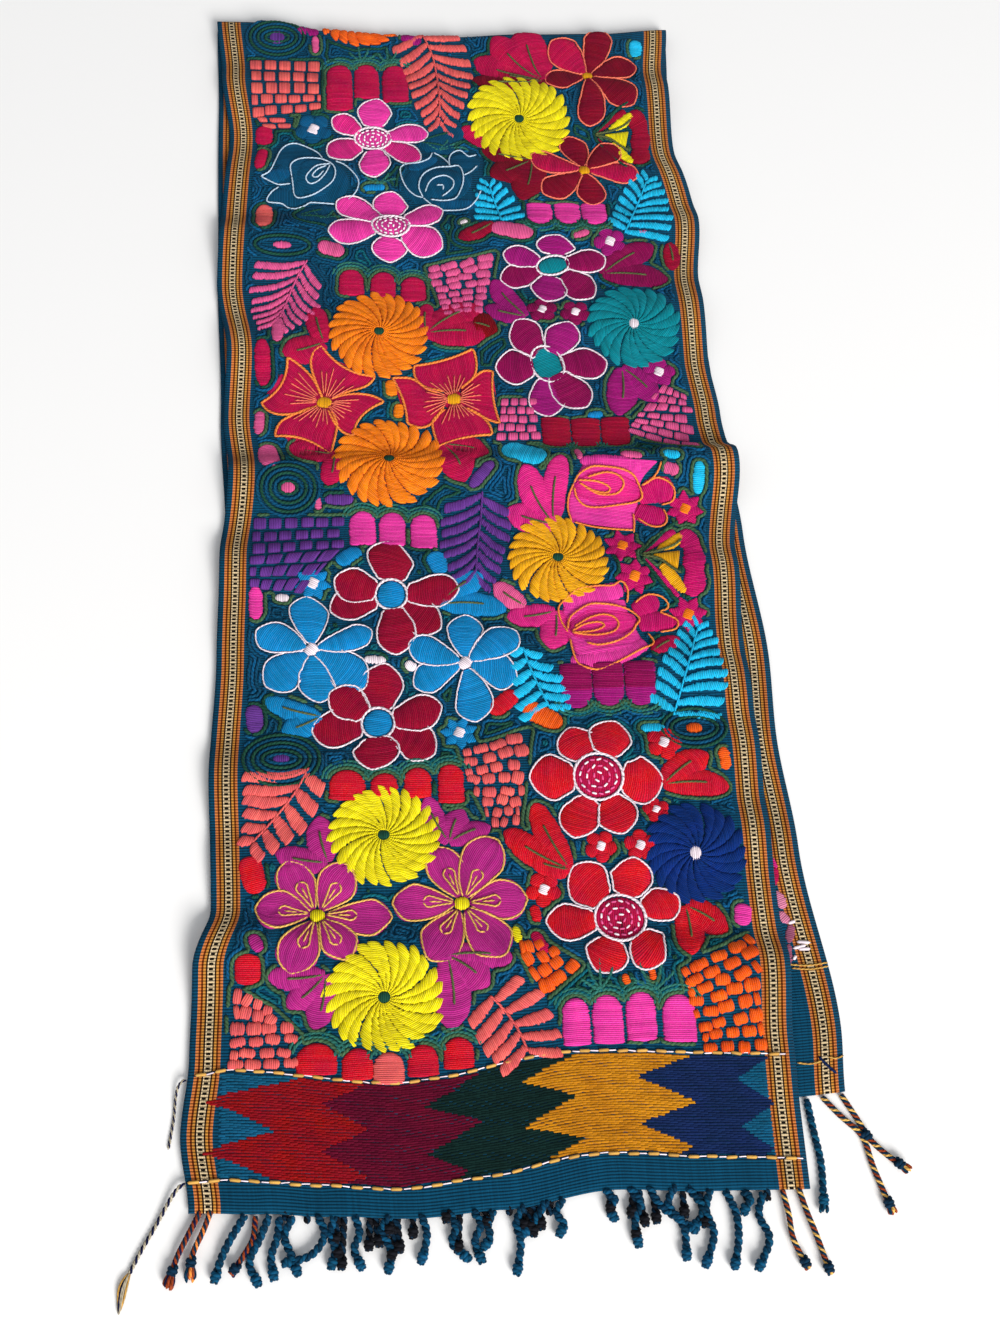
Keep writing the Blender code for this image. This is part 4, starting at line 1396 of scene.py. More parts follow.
# Pink roses: the two sides of the patch behind, odd patches, pads with their half widths, height
# and tips, then lines drawn low and high over them.
PINK_ROSES = (
    (((258, 468, 256, 484, 262, 500, 272, 517), (305, 460, 309, 480, 312, 498, 325, 512)),
     (("pink", (290, 511), (46, 15), 172, 1.4),),
     (("fuchsia", (308, 486, 322, 492, 335, 490), (5, 9.5, 9), 1.8, (2, 8)),
      ("fuchsia", (306, 478, 316, 473, 328, 470), (6, 9, 8), 1.8, (2, 7)),
      ("rose", (262, 493, 286, 494, 311, 490), (5, 14, 12, 5), 2.3, (4, 4))),
     ((326, 511, 323, 504, 317, 498, 311, 495), (313, 496, 322, 500, 331, 497, 335, 491, 333, 484, 325, 481),
      (326, 478, 328, 472, 327, 466, 322, 463, 315, 464, 307, 470), (304, 474, 304, 466, 303, 458),
      (303, 460, 290, 461, 275, 463, 261, 467), (259, 468, 257, 478, 258, 488, 262, 497)),
     ((262, 497, 266, 503, 275, 508, 285, 508, 297, 506, 305, 502, 309, 495, 311, 487, 306, 483, 295, 481,
       280, 479, 270, 480, 264, 486, 262, 494),
      (265, 499, 278, 498, 286, 495, 288, 492, 284, 490, 275, 492, 266, 497),
      (272, 501, 285, 504, 294, 502, 298, 497, 296, 492, 291, 489, 280, 489, 270, 494))),
    (((254, 356, 250, 372, 246, 390, 248, 402), (306, 366, 300, 380, 295, 394, 293, 404)),
     (),
     (("pink", (250, 354, 272, 356, 292, 363, 304, 370), (5, 8, 8, 5), 1.5, (4, 2)),
      ("pink", (248, 402, 270, 406, 291, 412), (6, 8, 6), 1.6, (4, 3)),
      ("fuchsia", (298, 394, 308, 400, 316, 403), (6, 8, 7), 1.8, (2, 6)),
      ("fuchsia", (300, 386, 312, 387, 326, 386), (7, 8, 6), 1.8, (2, 5)),
      ("rose", (251, 380, 275, 385, 300, 387), (5, 15, 12, 5), 2.3, (4, 4))),
     ((250, 378, 246, 388, 245, 398, 251, 405, 258, 411, 265, 413, 275, 414, 284, 414, 290, 417, 294, 412,
       294, 405, 293, 401),
      (299, 401, 304, 405, 310, 407, 318, 405, 322, 400, 321, 396, 316, 394, 322, 391, 327, 388, 328, 384,
       325, 380, 315, 378),
      (306, 377, 309, 371, 308, 367, 300, 363, 290, 357, 280, 352, 270, 348, 262, 349, 255, 353, 252, 362,
       251, 372)),
     ((250, 380, 252, 389, 258, 395, 267, 400, 278, 400, 288, 398, 296, 394, 301, 388, 298, 383, 295, 378,
       288, 372, 280, 368, 270, 366, 262, 368),
      (253, 378, 262, 384, 272, 386, 276, 383, 270, 379, 260, 377, 253, 377),
      (255, 382, 265, 389, 275, 392, 283, 390, 286, 384, 282, 378, 272, 375, 262, 375, 253, 377))),
)


class RUNNER_OT_roses(bpy.types.Operator):
    """Embroider two teal roses drawn in white, and two pink ones drawn in orange"""
    bl_idname = "runner.roses"
    bl_label = "Roses"

    def execute(self, context):
        for number, (patches, low, high) in enumerate(TEAL_ROSES):
            work = Needlework(701 + number, echoed=False)
            for yarn, centre, size, turn, *height in patches:
                bit(work, yarn, centre, size, turn, *(height or [1.0]))
            drawn(work, "ice", 0.62, 1.3, *low)
            drawn(work, "ice", 0.62, 1.9, *high)
            work.finish(f"rose_{number + 1}")
        for number, (sides, patches, pads, low, high) in enumerate(PINK_ROSES):
            work = Needlework(703 + number, echoed=False)
            work.panel("pink", *(np.reshape(side, (-1, 2)) for side in sides), 1.5, along=False)
            for odd in patches:
                bit(work, *odd)
            for yarn, spine, widths, height, tips in pads:
                work.pad(yarn, np.reshape(spine, (-1, 2)), widths, height, tips=tips, along=yarn == "rose")
            drawn(work, "apricot", 0.75, 1.7, *low)
            drawn(work, "apricot", 0.8, 2.6, *high)
            work.finish(f"rose_{number + 3}")
        return {"FINISHED"}


# Middle of each broad flower, and its petals: left side and right side from the heart out.
STAR_FLOWERS = (
    ((84, 570), (
        ((83, 573, 77, 590, 74, 603, 77, 613, 82, 617), (88, 572, 99, 579, 111, 583, 119, 588, 121, 593)),
        ((80, 568, 65, 561, 50, 560, 42, 564, 38, 570), (83, 574, 77, 588, 71, 596, 63, 603, 57, 607)),
        ((88, 566, 93, 552, 91, 538, 88, 524), (79, 568, 62, 560, 51, 552, 48, 541)),
        ((88, 573, 98, 577, 110, 578, 120, 576, 128, 571), (86, 565, 90, 555, 94, 548, 99, 543, 105, 541)))),
    ((179, 573), (
        ((173, 580, 158, 584, 151, 592, 150, 602), (184, 583, 194, 592, 197, 604, 195, 617)),
        ((184, 582, 194, 592, 203, 599, 209, 598), (187, 566, 196, 560, 204, 555, 212, 552)),
        ((187, 566, 197, 560, 204, 551, 206, 542), (174, 566, 163, 555, 163, 545, 166, 532)),
        ((172, 568, 162, 552, 153, 548, 144, 552), (172, 577, 158, 583, 150, 591, 134, 592)))),
)


class RUNNER_OT_stars(bpy.types.Operator):
    """Embroider the broad flowers with cornered petals and rays of thin stitches"""
    bl_idname = "runner.stars"
    bl_label = "Stars"

    def execute(self, context):
        for number, (heart, petals) in enumerate(STAR_FLOWERS):
            work = Needlework(711 + number, echoed=False)
            for sides in petals:
                left, right = (np.reshape(side, (-1, 2)) for side in sides)
                edge = work.panel("cerise", left, right, along=True, bow=-6.0 + 3.5 * number)
                work.line("apricot", calm(edge, 3)[::3], 1.0)
                for ray in range(7):
                    share = (ray + 0.7) / 7.4
                    tip = left[-2] * (1 - share) + right[-2] * share
                    first = heart + (tip - heart) * work.random.uniform(0.14, 0.24)
                    last = heart + (tip - heart) * work.random.uniform(0.58, 0.86)
                    route = [(*first, 1.9), (*((first + last) / 2), 2.0), (*last, 1.9)]
                    work.line("peach", route, 0.5, stitch=4.0)
            bit(work, "cerise", heart, (19.0, 17.0), height=1.4)
            bit(work, "gold", heart, (12.0, 11.0), height=2.7)
            work.finish(f"star_flower_{number + 1}")
        return {"FINISHED"}


# Yarn, yarn of the heart, middle, size, turn, and the number of pointed petals where they are pointed.
SMALL_FLOWERS = (
    ("berry", "white", (249, 653), 24, 18), ("berry", "white", (274, 650), 24, 49),
    ("plum", "white", (334, 598), 26, 80), ("plum", "white", (306, 719), 26, 111),
    ("scarlet", "white", (309, 293), 25, 142), ("scarlet", "white", (300, 246), 19, 173),
    ("scarlet", "white", (261, 221), 22, 204), ("scarlet", "white", (287, 221), 22, 235),
    ("scarlet", "white", (222, 193), 24, 266), ("blue", "white", (75, 418), 26, 297, 7),
    ("blue", "white", (172, 304), 26, 328, 7), ("fuchsia", "marigold", (294, 447), 28, 359, 7),
    ("fuchsia", "marigold", (300, 421), 28, 390, 7), ("fuchsia", "marigold", (336, 392), 28, 421, 7),
    ("fuchsia", "marigold", (342, 478), 28, 452, 7), ("ocean", "white", (77, 832), 30, 483),
)


class RUNNER_OT_small_flowers(bpy.types.Operator):
    """Embroider the small flowers with light square hearts"""
    bl_idname = "runner.small_flowers"
    bl_label = "Small flowers"

    def execute(self, context):
        sew_each("small_flower_{:02d}", 720, SMALL_FLOWERS, blossom)
        return {"FINISHED"}


# Middle, size, yarns by turns, and the heart's yarn and size.
RINGS = (
    ((48, 926), (50, 40), ("petrol", "pine"), "violet", (12, 15)),
    ((58, 494), (44, 40), ("petrol", "pine"), "salmon", (10, 10)),
    ((54, 286), (50, 38), ("pine", "petrol"), "violet", (11, 9)),
    ((331, 304), (44, 30), ("pine", "petrol"), "brick", (11, 9)),
    ((53, 711), (48, 22), ("petrol", "pine"), "salmon", (14, 6)),
)


class RUNNER_OT_rings(bpy.types.Operator):
    """Embroider the rounds of stem stitch about a small heart"""
    bl_idname = "runner.rings"
    bl_label = "Rings"

    def execute(self, context):
        sew_each("rings_{}", 750, RINGS, rings)
        return {"FINISHED"}


# Yarn, middle, size and turn of each odd patch.
PATCHES = (
    ("plum", 73, 933, 18, 9, 165), ("plum", 157, 926, 18, 10, 160), ("salmon", 79, 919, 17, 6, 90),
    ("coral", 39, 741, 29, 14, 90), ("cerise", 38, 825, 20, 14, 90), ("cerise", 36, 799, 24, 9, 80),
    ("white", 193, 736, 7, 5, 30), ("blue", 124, 772, 18, 6, 5), ("cyan", 343, 921, 17, 11, 85),
    ("cerise", 205, 827, 26, 13, 135), ("salmon", 230, 729, 34, 15, 170), ("salmon", 332, 727, 9, 5, 0),
    ("salmon", 284, 726, 14, 6, 20), ("salmon", 90, 709, 21, 12, 165), ("salmon", 50, 632, 25, 9, 88),
    ("cerise", 39, 603, 38, 12, 92), ("salmon", 44, 522, 25, 15, 100), ("salmon", 37, 553, 20, 8, 88),
    ("violet", 196, 505, 26, 9, 50), ("marigold", 133, 583, 15, 9, 95), ("marigold", 138, 563, 13, 8, 85),
    ("cyan", 228, 524, 34, 20, 160), ("cyan", 353, 500, 22, 9, 85), ("cyan", 334, 517, 13, 7, 165),
    ("white", 54, 407, 10, 7, 0), ("pink", 36, 403, 26, 10, 92), ("white", 117, 359, 15, 6, 175),
    ("white", 141, 354, 9, 7, 150), ("violet", 36, 317, 21, 12, 95), ("scarlet", 203, 326, 24, 13, 40),
    ("brick", 229, 316, 30, 15, 150), ("cyan", 303, 305, 17, 7, 0), ("brick", 349, 281, 16, 8, 95),
    ("scarlet", 36, 207, 25, 16, 105), ("scarlet", 34, 144, 19, 17, 90), ("magenta", 39, 160, 13, 8, 120),
    ("pink", 350, 173, 15, 12, 80), ("lemon", 203, 163, 12, 6, 100), ("cerise", 217, 157, 17, 8, 115),
    ("scarlet", 216, 177, 12, 7, 100), ("brick", 270, 131, 8, 5, 100), ("brick", 287, 134, 8, 5, 100),
    ("violet", 94, 486, 21, 8, 0), ("salmon", 79, 483, 9, 5, 90), ("salmon", 333, 506, 12, 9, 160),
    ("blue", 100, 439, 20, 12, 35), ("blue", 162, 434, 19, 14, 110), ("salmon", 305, 518, 16, 6, 170),
    ("salmon", 267, 521, 12, 5, 100), ("blue", 283, 560, 12, 6, 10),
)
# Dark sprigs: the foot of each and the tips of its lines.
SPRIGS = (
    ((253, 125), (241, 133), (246, 143), (254, 146), (262, 140)),
    ((287, 124), (272, 133), (279, 143), (293, 144), (301, 136)),
    ((84, 738), (70, 746), (76, 752), (92, 750), (98, 741)),
    ((116, 902), (106, 912), (114, 917), (122, 915), (128, 908)),
    ((138, 900), (130, 911), (137, 917), (145, 914), (150, 906)),
    ((176, 812), (166, 820), (184, 824), (196, 822), (200, 812)),
    ((128, 775), (116, 782), (122, 789), (136, 786), (142, 780)),
)


class RUNNER_OT_patches(bpy.types.Operator):
    """Embroider the odd patches and dark sprigs that fill the gaps between the flowers"""
    bl_idname = "runner.patches"
    bl_label = "Patches"

    def execute(self, context):
        sew_each("patch_{:02d}", 800, PATCHES, patch)
        work = Needlework(880)
        for sprig in SPRIGS:
            sprout(work, *sprig)
        work.finish("sprigs")
        return {"FINISHED"}


# ---- ground and band

GRID_SIZE = (400, 960)      # squares of one millimetre across and along the plan
GROUND_REACH = 16           # how far from the motifs the distance is measured, in millimetres
GROUND_INSET = 21.5         # from the cloth's side edges to the open ground
GROUND_END = 931            # where the open ground ends before the fold
# Lines of ground stitch: distance from the motifs, radius, and the yarns that take turns.
ECHO_LEVELS = ((1.8, 1.4, ("fir", "pine", "fir")), (4.3, 1.2, ("ocean", "petrol", "lagoon")),
               (6.7, 1.2, ("petrol", "pine", "ocean")), (9.1, 1.2, ("ocean", "lagoon", "petrol")),
               (11.5, 1.2, ("petrol", "ocean", "pine")), (13.9, 1.2, ("ocean", "lagoon", "petrol")))


def fill_grid(outlines):
    """Marks the squares of the plan's grid that lie inside closed outlines."""
    grid = np.zeros((GRID_SIZE[1], GRID_SIZE[0]), bool)
    for outline in outlines:
        low = np.clip(np.floor(outline.min(axis=0)).astype(int), 0, None)
        high = np.minimum(np.ceil(outline.max(axis=0)).astype(int) + 1, GRID_SIZE)
        x, y = np.meshgrid(np.arange(low[0], high[0]), np.arange(low[1], high[1]))
        inside = np.zeros(x.shape, bool)
        for (x1, y1), (x2, y2) in zip(outline, np.roll(outline, -1, axis=0)):
            if y1 != y2:
                inside ^= ((y1 > y) != (y2 > y)) & (x < (x2 - x1) * (y - y1) / (y2 - y1) + x1)
        grid[low[1]:high[1], low[0]:high[0]] |= inside
    return grid


def distance_from(outlines):
    """Distance of each square of the grid from those inside the outlines, up to a reach."""
    field = np.where(fill_grid(outlines), 0.0, float(GROUND_REACH))
    for _ in range(2):
        padded = np.pad(field, ((0, 0), (GROUND_REACH, GROUND_REACH)), constant_values=GROUND_REACH)
        moved = (np.hypot(padded[:, k:k + field.shape[1]], k - GROUND_REACH)
                 for k in range(2 * GROUND_REACH + 1))
        field = functools.reduce(np.minimum, moved).T
    return field


def level_lines(field, level):
    """Chains of points on the plan along which a gridded field crosses a level."""
    above = field > level
    corner = above[:-1, :-1]
    mixed = (corner != above[1:, :-1]) | (corner != above[:-1, 1:]) | (corner != above[1:, 1:])
    links, places = {}, {}
    for row, column in np.argwhere(mixed).tolist():
        ring = ((row, column), (row, column + 1), (row + 1, column + 1), (row + 1, column))
        cuts = []
        for first, second in zip(ring, ring[1:] + ring[:1]):
            if above[first] != above[second]:
                key = (min(first, second), max(first, second))
                share = (level - field[key[0]]) / (field[key[1]] - field[key[0]])
                places[key] = (key[0][1] + share * (key[1][1] - key[0][1]),
                               key[0][0] + share * (key[1][0] - key[0][0]))
                cuts.append(key)
        for first, second in zip(cuts[::2], cuts[1::2]):
            links.setdefault(first, []).append(second)
            links.setdefault(second, []).append(first)
    chains = []
    while links:
        here = next((key for key, ends in links.items() if len(ends) == 1), None) or next(iter(links))
        chain = [places[here]]
        while here in links:
            after = links[here].pop()
            links[after].remove(here)
            for key in (here, after):
                if not links[key]:
                    del links[key]
            here = after
            chain.append(places[here])
        chains.append(np.array(chain))
    return chains


def read_route(route, at):
    """The second value of a row of pairs at a place along the first."""
    return np.interp(at, *np.transpose(route))


class RUNNER_OT_ground(bpy.types.Operator):
    """Stitch the dark lines that run round the motifs over the open ground"""
    bl_idname = "runner.ground"
    bl_label = "Ground"

    def execute(self, context):
        clear = distance_from(CLEAR)
        echoed = np.minimum(distance_from(ECHOED), clear + 1.6)
        y, x = np.mgrid[0:GRID_SIZE[1], 0:GRID_SIZE[0]].astype(float)
        echoed += 0.55 * np.sin(x / 6.1 + y / 9.3) * np.sin(y / 7.2 - x / 13.0)
        along = y[:, 0] * MM
        left = (read_table(UPPER_EDGES, 1, along) / MM + GROUND_INSET)[:, None]
        right = (read_table(UPPER_EDGES, 2, along) / MM - GROUND_INSET)[:, None]
        low = read_route(UPPER_LINE, x) + 4.5
        open_ground = (clear > 2.4) & (x > left) & (x < right) & (y > low) & (y < GROUND_END)
        for number, (level, radius, yarns) in enumerate(ECHO_LEVELS):
            work = Needlework(900 + number)
            for turn, chain in enumerate(level_lines(echoed, level)):
                yarn = yarns[turn % len(yarns)]
                line = calm(chain, 5)
                squares = np.rint(line).astype(int)
                shown = open_ground[squares[:, 1], squares[:, 0]]
                starts = np.flatnonzero(np.diff(np.concatenate(([False], shown, [False])).astype(int)))
                for first, last in zip(starts[::2], starts[1::2]):
                    if last - first > 8:
                        work.line(yarn, line[first:last:3], radius, 0.5, stitch=4.2)
            work.finish(f"ground_stitches_{number + 1}")
        return {"FINISHED"}


# Upper and lower line of running stitch: x and y in millimetres.
UPPER_LINE = ((2, 80), (23, 83), (57, 80), (90, 75), (120, 72), (157, 75), (190, 82), (223, 87), (257, 88),
              (290, 86), (323, 84), (367, 82))
LOWER_LINE = ((-1, 17), (23, 18), (57, 15), (90, 12), (127, 9), (157, 12), (190, 16), (217, 22), (240, 25),
              (267, 25), (300, 22), (333, 20), (370, 18))
# Zigzag edges of the band's fields: share of the band's depth, and x in millimetres.
ZIGZAGS = (
    ((0.0, 50), (0.25, 9), (0.465, 51), (0.745, 9), (0.97, 62), (1.0, 66)),
    ((0.0, 92), (0.08, 107), (0.30, 78), (0.55, 108), (0.77, 79), (1.0, 106)),
    ((0.0, 160), (0.06, 166), (0.28, 142), (0.52, 176), (0.75, 141), (1.0, 176)),
    ((0.0, 214), (0.14, 237), (0.36, 201), (0.58, 235), (0.80, 200), (1.0, 235)),
    ((0.0, 294), (0.06, 304), (0.28, 272), (0.52, 308), (0.76, 272), (1.0, 308)),
    ((0.0, 346), (0.06, 353), (0.28, 334), (0.52, 356), (0.76, 334), (1.0, 356)),
)
# Ruby, wine, forest, honey and indigo are darker copies of the motif yarns: the band's flat yarn lies in
# more shade, painted into these colours.
BAND_YARNS = ("teal", "ruby", "wine", "forest", "honey", "indigo", "teal")
BAND_ROWS = 38
BAND_SIDES = (18.0, 353.0)  # where its rows begin and end
BAND_REPEAT = 4.8           # from one dash to the next, and the length of one
BAND_DASH = 4.6


class RUNNER_OT_band(bpy.types.Operator):
    """Weave the zigzag fields of short dashes across the knotted end"""
    bl_idname = "runner.band"
    bl_label = "Band"

    def execute(self, context):
        works = [Needlework(950 + k) for k in range(len(BAND_YARNS))]
        for row in range(BAND_ROWS):
            share = (row + 0.5) / BAND_ROWS
            edges = [read_route(zigzag, share) for zigzag in ZIGZAGS]
            breaks = (min(BAND_SIDES[0], edges[0]), *edges, BAND_SIDES[1])
            for work, yarn, left, right in zip(works, BAND_YARNS, breaks, breaks[1:]):
                x = left - BAND_REPEAT / 2 * (row % 2) - left % BAND_REPEAT
                while x < right:
                    first, last = max(x, left), min(x + BAND_DASH, right)
                    if last - first > 1.2:
                        middle = (first + last) / 2
                        low, high = read_route(LOWER_LINE, middle), read_route(UPPER_LINE, middle)
                        y = low + 1.6 + (high - low - 3.2) * share + 0.35 * sin(middle / 7 + row)
                        slope = (read_route(LOWER_LINE, middle + 2) - low) / 2 * 0.6
                        work.dash(yarn, (middle, y), slope + work.random.normal(0, 0.04),
                                  last - first + 1.5, 2.3, 0.55 + 0.12 * (row % 2))
                    x += BAND_REPEAT
        for number, work in enumerate(works):
            work.finish(f"band_field_{number + 1}")
        return {"FINISHED"}


RUN_REPEAT = 11.8           # from one running stitch to the next
# Yarn, start and end as shares of a repeat, width and height.
RUNNING_STITCHES = (("flax", 0.10, 0.72, 2.5, 1.6), ("white", 0.66, 1.14, 1.1, 0.9))


class RUNNER_OT_running_stitches(bpy.types.Operator):
    """Sew two lines of gold stitches over a dark cord of painted shade, beside the band"""
    bl_idname = "runner.running_stitches"
    bl_label = "Running stitches"

    def execute(self, context):
        for number, route in enumerate((UPPER_LINE, LOWER_LINE)):
            work = Needlework(970 + number)
            # the dark cord stands for the shade round the stitches: painted shade
            work.line("deep", [(x, y, 0.35) for x, y in route], 0.6, stitch=3.0)
            line = smooth_line(route, 400)
            count = int(line_length(line) / RUN_REPEAT)
            for k in range(count):
                for yarn, start, end, width, height in RUNNING_STITCHES:
                    first = int(399 * (k + start) / count)
                    last = min(int(399 * (k + end) / count), 399)
                    run = line[last] - line[first]
                    middle = (line[first] + line[last]) / 2 + (0, work.random.normal(0.0, 0.2))
                    work.dash(yarn, middle, atan2(run[1], run[0]) + work.random.normal(0.0, 0.05),
                              float(np.linalg.norm(run)), width, height, base=0.35)
            work.finish(f"running_stitch_{number + 1}")
        return {"FINISHED"}


# ---- fringe and loose tails

# Plies of the strands.
# The darker dusk ply of the plain strands is painted shade for the creases of the twist.
PLAIN = ("petrol", "dusk")
RUST = ("deep", "rust", "midnight", "rust")
ORANGE = ("deep", "rust", "dusk", "apricot")
STRIPED = ("deep", "rust", "dusk", "straw")
# Strands of the upper fringe: x and y by turns from the root to the tip, and the plies of those
# that are not plain, by their number.
UPPER_FRINGE = (
    (8, 1, 1, -13, -6, -26, -10, -42), (14, 1, 10, -10, 4, -24, 3, -38),
    (34, -2, 25, -16, 19, -28, 17, -38), (40, -3, 38, -16, 32, -27, 27, -34),
    (48, -3, 42, -17, 37, -29, 42, -41), (54, -4, 53, -16, 50, -26, 51, -38),
    (62, -4, 58, -15, 61, -26, 65, -37), (76, -4, 80, -15, 73, -26, 57, -30),
    (86, -5, 83, -15, 87, -24, 84, -34), (98, -5, 100, -15, 97, -24, 102, -35),
    (119, -6, 113, -14, 118, -25, 117, -37), (137, -6, 140, -15, 139, -23, 136, -33),
    (154, -6, 157, -14, 155, -23, 164, -32), (168, -5, 172, -13, 168, -22, 172, -34),
    (180, -5, 176, -14, 178, -20, 173, -26), (198, -3, 192, -13, 196, -24, 192, -41),
    (212, -1, 206, -9, 203, -14, 196, -20), (222, 0, 218, -8, 222, -14, 218, -21),
    (247, 4, 253, -2, 250, -7, 252, -13), (262, 5, 268, -4, 264, -14, 265, -29),
    (274, 5, 281, -7, 292, -18, 293, -37), (290, 5, 284, -5, 290, -14, 301, -22),
    (297, 4, 304, -7, 304, -14, 298, -20), (311, 2, 307, -10, 310, -24, 304, -41),
    (320, 1, 325, -12, 326, -28, 321, -43), (330, 0, 334, -4, 331, -8, 330, -13),
    (343, -1, 339, -14, 343, -28, 335, -45), (355, 0, 357, -14, 359, -28, 365, -45),
    (365, 1, 368, -14, 373, -30, 378, -48),
)
UPPER_PLIES = {0: RUST, 1: ORANGE, 3: RUST, 27: STRIPED, 28: STRIPED}
# Strands of the lower fringe: root x, tip x and how far the tip lies past the upper knotted end.
# They are worked in black and deep teal: painted shade, for the dark between the upper strands where the
# lower ones lie in shade.
LOWER_FRINGE = (
    (44, 45, 2), (57, 58, 6), (70, 70, 8), (83, 88, 28), (96, 90, 34), (109, 106, 24), (122, 124, 26),
    (133, 119, 30), (149, 152, 10), (162, 158, 27), (175, 176, 14), (188, 189, 8), (201, 203, 20),
    (212, 208, 16), (227, 228, 2), (240, 243, 2), (253, 250, 13), (266, 264, 28), (272, 277, 18),
    (293, 294, 14), (304, 306, 20), (319, 318, 5), (332, 333, 6), (345, 346, 6), (358, 358, 4),
    (92, 86, 20), (104, 112, 22), (115, 118, 16), (128, 132, 18), (194, 198, 16), (207, 201, 17),
    (217, 213, 9), (258, 270, 20), (269, 262, 15),
)
LOWER_ROOT_Y = 54
CORNER_STRANDS = (
    # The dusk ply of the first corner strand is painted shade as well.
    (("teal", "dusk"), 377, 54, 379, 34, 381, 14, 379, -13),
    (STRIPED, 387, 55, 397, 43, 409, 30, 413, 12, 421, -16),
    (STRIPED, 399, 56, 407, 41, 413, 29, 421, 20, 434, 9),
)
# Loose tails of the running stitches: x, y and height.
LONG_TAIL = ((-1.3, 16.5, 3.7), (-4.5, 15.5, 3.7), (-8.5, 10.5, 3.4), (-13.5, 2, 2.2), (-18.5, -7, 1.5),
             (-24.5, -17.5, 1.5), (-30.5, -29, 1.5), (-35, -40, 1.5), (-37, -54, 1.5))
SHORT_TAIL = ((-2.2, 78, 3.6), (-4.8, 77.5, 3.6), (-7.4, 73.5, 3.4), (-8.6, 66, 2.2), (-9.2, 57, 1.1),
              (-10.4, 48, 1.1), (-12, 38, 1.1))
TAIL_YARNS = ("tow", "midnight")
UP = (0.0, 0.0, 1.0)


def along_way(points, step):
    """Evenly spread places along a smooth curve in space, with the point, the way, the side and
    the rise at each."""
    line = smooth_line(points, 200)
    reach = reach_along(line)
    at = np.linspace(0.0, reach[-1], even(reach[-1] / step, 6) + 1)
    line = read_line(line, reach, at)
    way = unit(np.gradient(line, axis=0))
    side = unit(np.cross(way, UP))
    return at, line, way, side, np.cross(side, way)


def rope(work, yarns, points, radius, pitch=8.5):
    """Plies of yarn that wind round each other along points in space."""
    at, line, _, side, rise = along_way(points, 0.9)
    ply = radius * (0.54 if len(yarns) == 2 else 0.44)
    phase = work.random.uniform(0, 2 * pi)
    for number, yarn in enumerate(yarns):
        turn = (2 * pi * (at / pitch + number / len(yarns)) + phase)[:, None]
        out = np.cos(turn) * side + np.sin(turn) * rise
        work.tube(yarn, line + out * (radius - ply), ply, out)


def knot(work, yarns, place, way):
    """A strand's own yarn wound round it a few times and pulled tight."""
    radius, turns, thread = 3.0, 2.2, 1.5
    way = unit(np.asarray(way, float))
    side = unit(np.cross(way, UP))
    rise = np.cross(side, way)
    turn = np.linspace(0.0, 2 * pi * turns, 28)[:, None] + 2.0
    share = np.linspace(-1.0, 1.0, 28)[:, None]
    out = np.cos(turn) * side + np.sin(turn) * rise
    size = radius - thread + 0.5 * (1 - share ** 2)
    path = np.asarray(place, float) + out * size + way * (share * thread * turns * 0.8)
    work.tube(yarns[0], path, thread, np.broadcast_to(way, path.shape))


def tuft(work, yarns, place, way, length):
    """Loose ends that fan out past a knot."""
    count, thread = 8, 1.0
    way = unit(way)
    for number in range(count):
        angle = 2 * pi * number / count + work.random.uniform(-0.4, 0.4)
        out = cos(angle) * np.cross(way, UP) + sin(angle) * np.array(UP)
        reach = length * work.random.uniform(0.72, 1.05)
        s = np.linspace(0.0, 1.0, 7)[:, None]
        path = place + way * reach * s + out * (0.9 + 0.24 * reach * np.sin(s * 2.2))
        path[:, 2] = np.maximum(path[:, 2], thread + 0.05 + 0.1 * number)
        across = np.broadcast_to(np.cross(way, out), path.shape)
        work.tube(yarns[number % len(yarns)], path, thread, across, end=0.35)


def strand(work, yarns, points, heights, radius, tail=6.0, knotted=True):
    """One twisted strand with a knot near its tip.  The heights are those of its root, its
    middle and its tip over the table."""
    root, middle, tip = heights
    route = smooth_line(points, 12)
    share = np.linspace(0.0, 1.0, 12)
    height = np.interp(share, (0.0, 0.12, 0.5, 0.85, 1.0), (root, root, middle, tip, tip))
    route = np.concatenate((route, height[:, None]), axis=1)
    if not knotted:
        rope(work, yarns, route, radius)
        return
    at, line, way, _, _ = along_way(route, 0.9)
    stop = int(np.searchsorted(at, at[-1] - tail))
    rope(work, yarns, line[:stop + 1][::3], radius)
    place = line[stop] * (1, 1, 0) + (0.0, 0.0, max(line[stop, 2], 3.65))
    knot(work, yarns, place, way[stop])
    tuft(work, yarns[1:] if len(yarns) > 2 else yarns, place + way[stop] * 1.6, line[-1] - line[stop],
         tail * 0.85)


def lower_strand(work, root, tip, past):
    """A strand of the lower layer that lies under the upper one and shows past its end."""
    near = float(read_table(END_WAVES, 1, np.array(tip / 370.0))) / MM
    end = max(-past, near - past)
    edge = near + 4.0
    share = (LOWER_ROOT_Y - edge) / (LOWER_ROOT_Y - end)
    middle = root + (tip - root) * share + work.random.normal(0, 1.0)
    parts = [((root, LOWER_ROOT_Y), (middle, edge), (1.9, 1.6, 1.6), 1.5, False)]
    if past > 5:
        parts.append(((middle, edge), (tip, end), (2.0, 2.4, 2.4), 2.3, past > 9))
    for start, stop, heights, radius, knotted in parts:
        half_way = ((start[0] + stop[0]) / 2, (start[1] + stop[1]) / 2)
        # black and deep teal plies: painted shade for strands lying in shade under the upper layer
        strand(work, ("shade_black", "deep"), (start, half_way, stop), heights, radius, 3.4, knotted)


